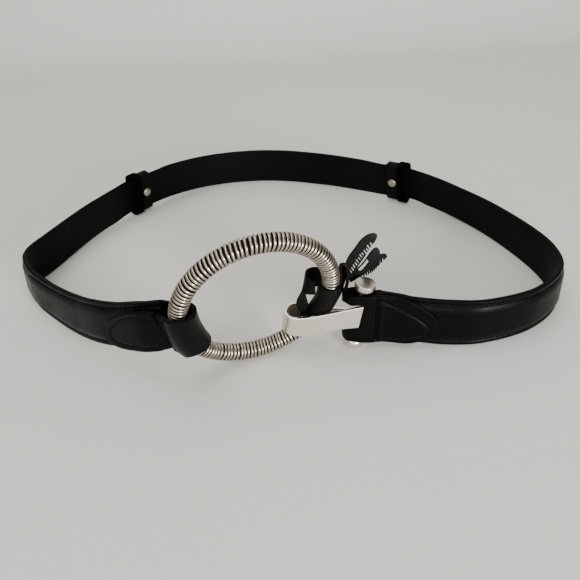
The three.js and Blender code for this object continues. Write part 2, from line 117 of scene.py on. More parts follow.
def catmull(points: Array, at: Array) -> Array:
    """Centripetal Catmull-Rom curves: each stretch is a cubic through its two points, and its slopes come
    from the neighbours, weighed by the square root of the distance between the points.

    Args:
        points: places along the first axis, for one curve or for a row of curves side by side.
        at: places along the curve, counted in points.

    Returns:
        The points on the curve or curves, along the first axis.
    """
    ends = np.concatenate([2 * points[:1] - points[1:2], points, 2 * points[-1:] - points[-2:-1]])
    i = np.clip(np.floor(at).astype(int), 0, len(points) - 2)
    share = (at - i).reshape((-1,) + (1,) * (points.ndim - 1))
    p0, p1, p2, p3 = ends[i], ends[i + 1], ends[i + 2], ends[i + 3]

    def knot(a: Array, b: Array) -> Array:
        """The square root of the distance between two points."""
        return np.sqrt(np.maximum(np.linalg.norm(b - a, axis=-1, keepdims=True), TINY))

    d0, d1, d2 = knot(p0, p1), knot(p1, p2), knot(p2, p3)
    slope1 = ((p1 - p0) / d0 - (p2 - p0) / (d0 + d1) + (p2 - p1) / d1) * d1
    slope2 = ((p2 - p1) / d1 - (p3 - p1) / (d1 + d2) + (p3 - p2) / d2) * d1
    square = -3 * p1 + 3 * p2 - 2 * slope1 - slope2
    cube = 2 * p1 - 2 * p2 + slope1 + slope2
    return p1 + share * (slope1 + share * (square + share * cube))


def lengths_along(points: Array) -> Array:
    """The distance along a line of points, from its first point to each one."""
    return np.concatenate([[0.0], np.cumsum(np.linalg.norm(np.diff(points, axis=0), axis=-1))])


def spaced(length: float, step: float, rim: float) -> Array:
    """Distances along a length, even in the middle and gathered at both ends, where a rim turns round: in
    the rim the distance is rim times one less the cosine of an angle that grows by even steps.

    Args:
        length: the whole length.
        step: the even spacing.
        rim: the rim's depth.

    Returns:
        Rising distances from 0 to the length.
    """
    rim = min(rim, MOST_RIM * length)
    turned = rim * (1 - np.cos(np.linspace(0, np.pi / 2, RIM_STEPS + 1)))
    count = max(int(np.ceil((length - 2 * rim) / step)), 1)
    even = np.linspace(rim, length - rim, count + 1)[1:-1]
    return np.concatenate([turned, even, length - turned[::-1]])


def quads_of(rows: int, columns: int, wrap_rows: bool = False, wrap_columns: bool = False) -> Array:
    """The four-sided faces of a grid of points, numbered row by row.

    Args:
        rows: how many rows of points.
        columns: how many points in a row.
        wrap_rows: whether the last row joins the first.
        wrap_columns: whether a row's last point joins its first.

    Returns:
        One row of four point numbers for each face.
    """
    i = np.arange(rows if wrap_rows else rows - 1)[:, None]
    j = np.arange(columns if wrap_columns else columns - 1)[None, :]
    i2, j2 = (i + 1) % rows, (j + 1) % columns
    corners = [i * columns + j, i2 * columns + j, i2 * columns + j2, i * columns + j2]
    return np.stack(corners, axis=-1).reshape(-1, 4)


@dataclass
class Shell:
    """A closed surface: its points, its faces of four corners, and the number of each face's material."""

    points: Array
    quads: Array
    looks: Array
    marks: Array | None = None  # one number for each point, kept as the attribute "mark"

    @staticmethod
    def of_grid(points: Array, quads: Array, marks: Array | None = None) -> "Shell":
        """A closed grid of points with one material, whose faces point out."""
        return Shell(points.reshape(-1, 3), quads, np.zeros(len(quads), int), marks).welded().outward()

    @staticmethod
    def joined(shells: Sequence["Shell"]) -> "Shell":
        """Joins several shells without marks into one list of points and faces.

        Args:
            shells: the shells, in order.

        Returns:
            One shell of them all.
        """
        starts = np.concatenate([[0], np.cumsum([len(s.points) for s in shells])[:-1]]).astype(int)
        return Shell(
            np.concatenate([s.points for s in shells]),
            np.concatenate([s.quads + start for s, start in zip(shells, starts)]),
            np.concatenate([s.looks for s in shells]),
        )

    def welded(self) -> "Shell":
        """Merges points at one place and drops faces without area.

        Returns:
            The same surface, with each place once.
        """
        places = np.round(self.points, WELD_DECIMALS)
        _, first, same = np.unique(places, axis=0, return_index=True, return_inverse=True)
        quads = same.reshape(-1)[self.quads]
        flat = sum((quads[:, k] == quads[:, (k + 1) % 4]).astype(int) for k in range(4))
        folded = (quads[:, 0] == quads[:, 2]) | (quads[:, 1] == quads[:, 3])
        keep = (flat < 2) & ~folded
        marks = None if self.marks is None else self.marks[first]
        return Shell(self.points[first], quads[keep], self.looks[keep], marks)

    def outward(self) -> "Shell":
        """Turns the faces to point out, told by the sign of the volume: the sum over all their triangles
        of one corner times the cross product of the other two.

        Returns:
            The same surface, with its faces pointing out.
        """
        a, b, c, d = (self.points[self.quads[:, k]] for k in range(4))
        volume = np.einsum("ij,ij->i", a, np.cross(b, c)) + np.einsum("ij,ij->i", a, np.cross(c, d))
        if volume.sum() < 0:
            return Shell(self.points, self.quads[:, ::-1], self.looks, self.marks)
        return self


def add_object(name: str, data: bpy.types.ID) -> bpy.types.Object:
    """Makes an object and puts it in the scene.

    Args:
        name: the object's name.
        data: what it shows: a mesh, a light or a camera.

    Returns:
        The object.
    """
    made = bpy.data.objects.new(name, data)
    bpy.context.scene.collection.objects.link(made)
    return made


def make_piece(name: str, shell: Shell, materials: Sequence[bpy.types.Material],
               replaces: Sequence[str] = ()) -> None:
    """Makes a smooth mesh object that rides on the belt's body.

    Args:
        name: the piece's name.
        shell: its surface, in millimetres.
        materials: its materials, in the order of the shell's numbers.
        replaces: the names of the nodes that it stands for.
    """
    shell = shell.welded()
    repeated = shell.quads == np.roll(shell.quads, -1, axis=1)
    is_tri = repeated.any(axis=1)
    dropped = np.argmax(repeated[is_tri], axis=1)
    tris = shell.quads[is_tri][np.arange(4) != dropped[:, None]].reshape(-1, 3)
    full = shell.quads[~is_tri]
    corners = np.concatenate([full.ravel(), tris.ravel()]).astype(np.int32)
    counts = np.concatenate([np.full(len(full), 4), np.full(len(tris), 3)])
    starts = np.concatenate([[0], np.cumsum(counts)[:-1]]).astype(np.int32)
    looks = np.concatenate([shell.looks[~is_tri], shell.looks[is_tri]]).astype(np.int32)

    mesh = bpy.data.meshes.new(name)
    mesh.vertices.add(len(shell.points))
    mesh.vertices.foreach_set("co", (shell.points * MM).astype(np.float32).ravel())
    mesh.loops.add(len(corners))
    mesh.loops.foreach_set("vertex_index", corners)
    mesh.polygons.add(len(counts))
    mesh.polygons.foreach_set("loop_start", starts)
    mesh.polygons.foreach_set("material_index", looks)
    mesh.polygons.foreach_set("use_smooth", np.ones(len(counts), bool))
    if shell.marks is not None:
        mark = mesh.attributes.new("mark", "FLOAT", "POINT")
        mark.data.foreach_set("value", shell.marks.astype(np.float32))
    mesh.update(calc_edges=True)
    mesh.validate()
    for material in materials:
        mesh.materials.append(material)
    piece = add_object(name, mesh)
    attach(piece, BODY)
    if replaces:
        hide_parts(*replaces)
    log.info("%s: %d faces", name, len(counts))


@dataclass(frozen=True)
class Rim:
    """How a band's thickness rounds off towards its edge: as a superellipse of a depth and a power."""

    depth: float
    power: float = 2.5

    def share(self, distance: Array) -> Array:
        """The share of the thickness that is left at a distance from the edge."""
        inside = np.clip(1 - distance / self.depth, 0, 1)
        return (1 - inside ** self.power) ** (1 / self.power)


@dataclass
class Patch:
    """A grid of points in the middle of a band's thickness. Rows go along the band and columns across it,
    and along and across are the distances from its first end and its first edge."""

    points: Array
    along: Array
    across: Array
    closed: bool = False  # whether the last row joins the first

    @staticmethod
    def through(control: Array, step: float, rim: float) -> "Patch":
        """The smooth patch through a coarse grid of points: curves along its columns, then curves across.

        Args:
            control: the coarse grid, rows along the band.
            step: the fine spacing.
            rim: the rim's depth, where the spacing is finer.

        Returns:
            The patch.
        """
        last_row, last_column = control.shape[0] - 1, control.shape[1] - 1
        fine = np.linspace(0, last_row, CURVE_STEPS * last_row + 1)
        length = lengths_along(catmull(control, fine)[:, control.shape[1] // 2])
        along = spaced(length[-1], step, rim)
        rows = catmull(control, np.interp(along, length, fine))
        width = np.linalg.norm(np.diff(rows, axis=1), axis=-1).sum(axis=1)
        across = spaced(width.mean(), step, rim)
        share = across / across[-1]
        points = np.swapaxes(catmull(np.swapaxes(rows, 0, 1), share * last_column), 0, 1)
        return Patch(points, along, share * width[:, None])

    def normals(self) -> Array:
        """The outward direction at each point: the cross product of the grid's slopes across and along.

        Returns:
            Directions of length one.
        """
        if self.closed:
            wrapped = np.concatenate([self.points[-1:], self.points, self.points[:1]])
            ahead = wrapped[2:] - wrapped[:-2]
        else:
            ahead = np.gradient(self.points, axis=0)
        side = np.gradient(self.points, axis=1)
        return unit(np.cross(side, ahead))

    def thickened(self, thick: float | Array, rim: Rim, displace: Displace | None = None,
                  keep: Array | None = None) -> Shell:
        """The closed band round the patch: each side lies half the thickness off the middle, times the
        rim's share at the nearest edge, and the outer side is moved by displace.

        Args:
            thick: the band's thickness, or a column of one for each row.
            rim: how it rounds off at its edges.
            displace: how far the outer side moves out, from its points and the distances along and across.
            keep: which cells of the grid are leather. Left out, all are.

        Returns:
            The band's shell.
        """
        rows, columns = self.points.shape[:2]
        edge = rim.share(np.minimum(self.across, self.across[:, -1:] - self.across))
        along = np.broadcast_to(self.along[:, None], edge.shape)
        if not self.closed:
            edge = edge * rim.share(np.minimum(along, self.along[-1] - along))
        normals = self.normals()
        inner = outer = edge * thick / 2
        if displace is not None:
            outer = outer + edge * displace(self.points + normals * outer[..., None], along, self.across)
        sides = [self.points + normals * outer[..., None], self.points - normals * inner[..., None]]
        grid = quads_of(rows, columns, wrap_rows=self.closed)
        if keep is not None:
            grid = grid[keep.ravel()]
        on_edge = edge.ravel()[grid].mean(axis=1) < EDGE_LIMIT
        faces = [grid, grid[:, ::-1] + rows * columns]
        looks = [np.where(on_edge, Face.EDGE, face) for face in (Face.OUTER, Face.INNER)]
        if keep is not None:
            faces.append(hole_walls(keep, columns, rows * columns))
            looks.append(np.full(len(faces[-1]), Face.EDGE))
        points = np.concatenate(sides).reshape(-1, 3)
        return Shell(points, np.concatenate(faces), np.concatenate(looks)).outward()


def hole_walls(keep: Array, columns: int, count: int) -> Array:
    """The faces that close a band's thickness where cells of its grid are left out.

    Args:
        keep: which cells are leather.
        columns: how many points a row of the grid has.
        count: how many points one side of the band has.

    Returns:
        Faces from the outer side to the inner one, round each hole.
    """
    walls = []
    along, across = (keep[:-1], keep[1:], 1, 0), (keep[:, :-1], keep[:, 1:], 0, columns)
    for before, after, to_first, to_second in (along, across):
        i, j = np.nonzero(before != after)
        corner = (i + 1) * columns + j + 1
        first, second = corner - to_first, corner - to_second
        wall = np.stack([first, first + count, second + count, second], axis=-1)
        walls.append(np.where(before[i, j][:, None], wall, wall[:, ::-1]))
    return np.concatenate(walls)


def turned_shell(profile: Array, foot: Array, axis: Array, steps: int = 64) -> Shell:
    """A turned solid: each profile point, a radius and a height, goes round the axis in a circle.

    Args:
        profile: rows of radius and height, from the foot's middle to the top's.
        foot: the point that heights count from.
        axis: the direction of the axis.
        steps: how many steps go round.

    Returns:
        The closed shell.
    """
    axis = unit(axis)
    first = unit(np.cross(axis, ASLANT))
    second = np.cross(axis, first)
    angle = np.linspace(0, 2 * np.pi, steps, endpoint=False)
    ring = np.cos(angle)[:, None] * first + np.sin(angle)[:, None] * second
    points = foot + profile[:, None, :1] * ring[None] + profile[:, None, 1:] * axis
    return Shell.of_grid(points, quads_of(len(profile), steps, wrap_columns=True))


def rounded_profile(corners: Table) -> Array:
    """A profile of straight lines whose corners are rounded: near a corner the line follows a curve that
    starts and ends its radius away, the parabola that the corner pulls on.

    Args:
        corners: rows of radius from the axis, height and rounding.

    Returns:
        Rows of radius and height.
    """
    rows = np.array(corners, float)
    places, rounding = rows[:, :2], rows[:, 2]
    parts = [places[:1]]
    share = np.linspace(0, 1, RIM_STEPS + 1)[:, None]
    for i in range(1, len(rows) - 1):
        back, on = unit(places[i - 1] - places[i]), unit(places[i + 1] - places[i])
        start, end = places[i] + back * rounding[i], places[i] + on * rounding[i]
        parts.append((1 - share) ** 2 * start + 2 * share * (1 - share) * places[i] + share ** 2 * end)
    return np.concatenate([*parts, places[-1:]])


@dataclass(frozen=True)
class Thread:
    """Sewing thread and how it lies: each stitch is a short thick arc whose ends dive into the leather."""

    pitch: float = 3.3
    gap: float = 0.75  # clear length between two stitches
    radius: float = 0.36
    sink: float = 0.34  # how deep the arc's ends dive
    steps: int = 10  # along a stitch
    sides: int = 8

    def stitches(self, line: Array, normals: Array, lift: float) -> Shell:
        """Stitches along a line: along each one its middle line sinks by the square of the way to its end,
        and its radius falls as the fourth root of one less the way to the fourth power.

        Args:
            line: close points along the seam, on the leather's surface.
            normals: the outward direction at each point.
            lift: how far the stitches' middle lines lie above the surface.

        Returns:
            One shell of all the stitches.
        """
        length = lengths_along(line)
        count = int(length[-1] // self.pitch)
        middle = (np.arange(count) + 0.5) * length[-1] / count
        half = (length[-1] / count - self.gap) / 2
        way = np.sin(np.linspace(-np.pi / 2, np.pi / 2, self.steps + 1))
        at = (middle[:, None] + half * way).ravel()
        out = unit(between(at, length, normals))
        side = unit(np.cross(out, unit(between(at, length, np.gradient(line, axis=0)))))
        way = np.tile(way, count)
        centre = between(at, length, line) + out * (lift - self.sink * way ** 2)[:, None]
        radius = self.radius * np.maximum(1 - way ** 4, 0) ** 0.25
        angle = np.linspace(0, 2 * np.pi, self.sides, endpoint=False)[:, None]
        ring = np.cos(angle) * side[:, None] + np.sin(angle) * out[:, None]
        points = centre[:, None] + radius[:, None, None] * ring
        starts = np.arange(count) * (self.steps + 1) * self.sides
        quads = quads_of(self.steps + 1, self.sides, wrap_columns=True) + starts[:, None, None]
        return Shell.of_grid(points, quads.reshape(-1, 4))


# Finishes.


def linear(code: str) -> tuple[float, float, float, float]:
    """An sRGB colour as a linear one: a value up to 0.04045 is divided by 12.92, and 0.055 is added to any
    other, which is divided by 1.055 and raised to the power of 2.4.

    Args:
        code: the hex colour, with its number sign.

    Returns:
        Linear red, green, blue and alpha.
    """
    parts = np.array([int(code[i:i + 2], 16) for i in (1, 3, 5)]) / 255
    values = np.where(parts <= 0.04045, parts / 12.92, ((parts + 0.055) / 1.055) ** 2.4)
    return (*values.tolist(), 1.0)


def add_node(tree: bpy.types.NodeTree, kind: str, settings: dict | None = None,
             links: dict | None = None) -> bpy.types.Node:
    """Adds a node.

    Args:
        tree: the material's node tree.
        kind: the node's type name, without ShaderNode in front.
        settings: values by name. A name of one of the node's own settings sets it, and any other name or
            number is an input socket.
        links: output sockets by the name or number of the input that they go to.

    Returns:
        The node.
    """
    node = tree.nodes.new("ShaderNode" + kind)
    for name, value in (settings or {}).items():
        if isinstance(name, str) and hasattr(node, name):
            setattr(node, name, value)
        else:
            node.inputs[name].default_value = value
    for name, output in (links or {}).items():
        tree.links.new(output, node.inputs[name])
    return node


def new_material(name: str) -> tuple[bpy.types.Material, bpy.types.NodeTree]:
    """Makes a material whose node tree is empty.

    Args:
        name: the material's name.

    Returns:
        The material and its node tree.
    """
    material = bpy.data.materials.new(name)
    material.use_nodes = True
    material.node_tree.nodes.clear()
    return material, material.node_tree


@dataclass(frozen=True)
class Leather:
    """A finished leather face. Its colour drifts between two tones over some centimetres, and its grain is
    a fine net of pebbles with broader soft unevenness under it."""

    name: str
    dark: str
    light: str
    roughness: tuple[float, float]
    grain_mm: float
    grain_depth_mm: float
    wave_depth_mm: float
    specular: float = 0.2
    drift_mm: float = 14.0
    wave_mm: float = 5.0

    def make(self) -> bpy.types.Material:
        """Builds the material.

        Returns:
            The material.
        """
        material, tree = new_material(self.name)
        smooth, dull = self.roughness
        place = {"Vector": add_node(tree, "TexCoord").outputs["Object"]}
        drift = add_node(tree, "TexNoise", {"Scale": 1 / (self.drift_mm * MM), "Detail": 3.0}, place)
        tone = add_node(tree, "Mix", {"data_type": "RGBA", 6: linear(self.dark), 7: linear(self.light)},
                        {"Factor": drift.outputs["Fac"]})
        wave = add_node(tree, "TexNoise", {"Scale": 1 / (self.wave_mm * MM), "Detail": 4.0}, place)
        grain = add_node(tree, "TexVoronoi", {
            "feature": "SMOOTH_F1", "Scale": 1 / (self.grain_mm * MM), "Smoothness": 0.5}, place)
        low = add_node(tree, "Bump", {"Distance": self.wave_depth_mm * MM}, {"Height": wave.outputs["Fac"]})
        high = add_node(tree, "Bump", {"Distance": self.grain_depth_mm * MM, "invert": True},
                        {"Height": grain.outputs["Distance"], "Normal": low.outputs["Normal"]})
        rough = add_node(tree, "MapRange", NOISE_MIDDLE | {"To Min": smooth, "To Max": dull},
                         {"Value": wave.outputs["Fac"]})
        shader = add_node(tree, "BsdfPrincipled", {"IOR": 1.5, "Specular IOR Level": self.specular}, {
            "Base Color": tone.outputs[2],
            "Roughness": rough.outputs["Result"],
            "Normal": high.outputs["Normal"],
        })
        add_node(tree, "OutputMaterial", None, {"Surface": shader.outputs["BSDF"]})
        return material


@dataclass(frozen=True)
class Metal:
    """A plated metal face. Its colour and roughness drift a little, with fine scratches drawn out along one
    way, and where the attribute mark is low it is dark and dull."""

    name: str
    colour: str
    tone: str
    roughness: tuple[float, float]
    scratch_mm: tuple[float, float, float]
    scratch_depth_mm: float
    worn: bool = False
    cloud_mm: float = 6.0
    tarnish: str = "#150f0b"
    tarnish_roughness: float = 0.6
    uneven: float = 0.5  # how far the cloud moves the tarnish's border
    border: tuple[float, float] = (0.4, 0.8)  # the marks between which tarnish turns to bright metal

    def make(self) -> bpy.types.Material:
        """Builds the material.

        Returns:
            The material.
        """
        material, tree = new_material(self.name)
        smooth, dull = self.roughness
        place = {"Vector": add_node(tree, "TexCoord").outputs["Object"]}
        scale = tuple(1 / (size * MM) for size in self.scratch_mm)
        drawn = add_node(tree, "Mapping", {"Scale": scale}, place)
        scratch = add_node(tree, "TexNoise", {"Scale": 1.0, "Detail": 3.0},
                           {"Vector": drawn.outputs["Vector"]})
        cloud = add_node(tree, "TexNoise", {"Scale": 1 / (self.cloud_mm * MM), "Detail": 3.0}, place)
        tone = add_node(tree, "Mix", {"data_type": "RGBA", 6: linear(self.colour), 7: linear(self.tone)},
                        {"Factor": cloud.outputs["Fac"]})
        rough = add_node(tree, "MapRange", NOISE_MIDDLE | {"To Min": smooth, "To Max": dull},
                         {"Value": cloud.outputs["Fac"]})
        colour, roughness = tone.outputs[2], rough.outputs["Result"]
        if self.worn:
            mark = add_node(tree, "Attribute", {"attribute_name": "mark"})
            spread = {"operation": "MULTIPLY_ADD", 1: self.uneven, 2: -self.uneven / 2}
            uneven = add_node(tree, "Math", spread, {0: cloud.outputs["Fac"]})
            level = add_node(tree, "Math", {"operation": "ADD"},
                             {0: mark.outputs["Fac"], 1: uneven.outputs[0]})
            crest = add_node(tree, "MapRange", {
                "interpolation_type": "SMOOTHSTEP", "From Min": self.border[0], "From Max": self.border[1],
            }, {"Value": level.outputs[0]})
            darkened = add_node(tree, "Mix", {"data_type": "RGBA", 6: linear(self.tarnish)},
                            {"Factor": crest.outputs["Result"], 7: colour})
            film = add_node(tree, "Mix", {2: self.tarnish_roughness},
                            {"Factor": crest.outputs["Result"], 3: roughness})
            colour, roughness = darkened.outputs[2], film.outputs[0]
        bump = add_node(tree, "Bump", {"Distance": self.scratch_depth_mm * MM},
                        {"Height": scratch.outputs["Fac"]})
        shader = add_node(tree, "BsdfPrincipled", {"Metallic": 1.0}, {
            "Base Color": colour,
            "Roughness": roughness,
            "Normal": bump.outputs["Normal"],
        })
        add_node(tree, "OutputMaterial", None, {"Surface": shader.outputs["BSDF"]})
        return material


class Finishes:
    """The belt's finishes, named for the real materials, and some for the shade or highlight that they
    paint.
    """

    def __init__(self) -> None:
        """Makes every finish."""
        # Corrected-grain calf, pressed flat and sealed: near black, with a soft shine and barely any grain.
        self.calf = Leather("corrected_grain_calf", "#030303", "#060606",
                            (0.3, 0.4), 0.55, 0.012, 0.05, 0.06).make()
        # Plain lining leather, unpolished: a dull black with a soft nap.
        self.lining = Leather("lining_leather", "#040404", "#080707",
                              (0.55, 0.68), 0.4, 0.02, 0.06, 0.07).make()
        # Painted shade: a deep matt black that takes the light in, for the shadow in the keepers' openings.
        self.shade_black = Leather("painted_shade_leather", "#020202", "#040404",
                           (0.8, 0.9), 0.4, 0.03, 0.06, 0.02).make()
        # Cut edge with several coats of black edge paint: smooth, a little wavy, duller than the face.
        self.edge = Leather("edge_paint", "#040404", "#060606",
                            (0.45, 0.55), 1.2, 0.01, 0.08, 0.05).make()
        # Bonded and waxed polyester thread: black, with a dull sheen.
        self.thread = Leather("waxed_thread", "#060606", "#0a0a0a",
                              (0.45, 0.55), 0.3, 0.03, 0.02, 0.12).make()
        # Thong leather, thin and softer than the straps, with a dull face; its tone, a shade lighter than
        # the calf's, is painted light for the light that the thong's faces catch.
        self.thong = Leather("thong_leather", "#060606", "#0d0c0c",
                             (0.46, 0.58), 0.45, 0.02, 0.08, 0.1).make()
        # Cast zinc plated with silver and brushed: bright and warm, with blurred reflections.
        self.silver = Metal("satin_silver_plate", "#f8f5ee", "#e3ddd1",
                            (0.16, 0.24), (4.0, 0.25, 4.0), 0.002).make()
        # The same plate, greyer and duller: on the studs, and as painted shade on the hook's inner faces and
        # eye, for the dark of the leather fold round them.
        self.darkened = Metal("dull_and_shaded_silver_plate", "#b0a89b", "#8d8477",
                          (0.4, 0.5), (4.0, 0.4, 4.0), 0.003).make()
        # The same plate, brighter, on the hook's edges: a painted highlight for the bright rim line along
        # them.
        self.edge_highlight = Metal("highlit_edge_silver_plate", "#fbf9f4", "#f1eee8",
                            (0.16, 0.24), (4.0, 0.4, 4.0), 0.001).make()
        # The same plate tumbled in a drum: an even, greyer face with soft reflections and no brushed lines.
        self.tumbled = Metal("tumbled_silver_plate", "#dfd9ce", "#cfc8bc", (0.26, 0.32), (2.0, 2.0, 2.0),
                             0.0005).make()
        # Half-hard steel wire, silver plated and antiqued: bright crests, with brown-black between turns.
        self.wire = Metal("antiqued_silver_wire", "#c8bfb1", "#988e7f", (0.2, 0.32), (0.5, 0.5, 0.5), 0.006,
                          worn=True).make()

    @property
    def leather(self) -> list[bpy.types.Material]:
        """The finishes of a band of the straps' leather, in the order of its faces."""
        return [self.calf, self.lining, self.edge]


# The strap's route.


@dataclass(frozen=True)
class StrapSize:
    """A strap's section. The outer face is padded: a flat margin, a stitched groove, and then a crown."""

    height: float = 26.4
    thick: float = 3.8
    thin: float = 2.0  # of the skived ends
    rim: Rim = Rim(1.1, 2.6)
    margin: float = 2.7  # from an edge to the groove's middle
    margin_drop: float = 1.0  # how far the margin lies below the crown
    groove: float = 0.6  # how deep the stitches pull the groove
    groove_width: float = 0.55
    shoulder: float = 3.4  # from the groove to where the crown is full


@dataclass(frozen=True)
class Route:
    """The strap's way round, clockwise from above, from the left tab to the right one. A row has the x and
    y of the middle of the strap's thickness, how far its lower edge stands off the floor, and how far its
    upper edge tips outwards."""

    strap: StrapSize = StrapSize()
    rows: Table = (
        (-48.5, -113.2, 21.5, 0.0), (-63.5, -110.8, 19.0, 0.0), (-72.0, -106.4, 16.2, -0.4),
        (-79.6, -101.8, 12.8, -1.0), (-92.7, -93.4, 8.4, -2.0), (-107.6, -80.3, 3.4, -2.0),
        (-125.5, -62.9, 0.2, -1.0), (-143.7, -44.3, 0.0, -0.6), (-154.9, -24.7, 0.0, -3.2),
        (-147.0, -0.1, 0.0, -2.2), (-127.0, 43.3, 1.4, -4.0), (-95.8, 82.3, 2.9, -3.5),
        (-58.6, 110.5, 0.8, -2.2), (-18.0, 118.1, 0.0, -1.5), (26.3, 107.8, 0.0, -1.8),
        (65.1, 82.1, 3.0, -3.8), (102.3, 58.6, 2.8, -6.0), (129.3, 28.3, 0.3, -5.5),
        (146.9, -10.4, 0.0, -3.3), (155.5, -48.4, 0.0, -1.4), (151.0, -72.1, 0.0, -1.0),
        (130.4, -90.7, 0.0, 0.0), (101.7, -100.0, 0.2, -1.0), (84.6, -100.0, 0.4, -2.2),
        (74.4, -98.9, 1.2, -2.2), (64.5, -97.5, 2.6, -1.6), (55.0, -95.6, 4.6, -0.8),
        (47.5, -95.2, 5.6, 0.0),
    )

    @property
    def last(self) -> int:
        """The number of the last row."""
        return len(self.rows) - 1

    def axes(self, at: Array) -> tuple[Array, Array, Array, Array]:
        """The strap's own axes at places on the route.

        Args:
            at: places, counted in rows.

        Returns:
            The strap's foot, the way ahead, the way out of the loop, and the way up the leaning face.
        """
        at = np.atleast_1d(np.asarray(at, float))
        rows = np.array(self.rows)
        nudge = 1e-3
        point = catmull(rows[:, :3], at)
        ahead = catmull(rows[:, :3], at + nudge) - catmull(rows[:, :3], at - nudge)
        ahead[:, 2] = 0
        ahead = unit(ahead)
        out = np.cross(UP, ahead)
        lean = np.interp(at, np.arange(len(rows)), rows[:, 3])
        rise = unit(UP * self.strap.height + out * lean[:, None])
        foot = point + TABLE_SHIFT
        foot[:, 2] = np.maximum(point[:, 2], 0) + np.abs((rise * out).sum(axis=1)) * self.strap.thick / 2
        return foot, ahead, out, rise

    def on_face(self, at: Array, outside: Array | float, up_face: Array | float) -> Array:
        """Points on or off the strap.

        Args:
            at: places on the route, counted in rows.
            outside: how far outside the route's middle.
            up_face: how far up the strap's leaning face.

        Returns:
            One point for each place.
        """
        foot, _, out, rise = self.axes(at)
        outside = np.broadcast_to(np.asarray(outside, float), len(foot))
        up_face = np.broadcast_to(np.asarray(up_face, float), len(foot))
        return foot + out * outside[:, None] + rise * up_face[:, None]

    def rows_for(self, length: float, at: float) -> float:
        """How many rows a length takes near a place, told by the length of a short stretch there.

        Args:
            length: the length along the route.
            at: the place, counted in rows.

        Returns:
            The number of rows.
        """
        near = 0.05
        ends = catmull(np.array(self.rows)[:, :3], np.array([at - near, at + near]))
        return length * 2 * near / float(np.linalg.norm(ends[1] - ends[0]))


# Sub-assemblies.


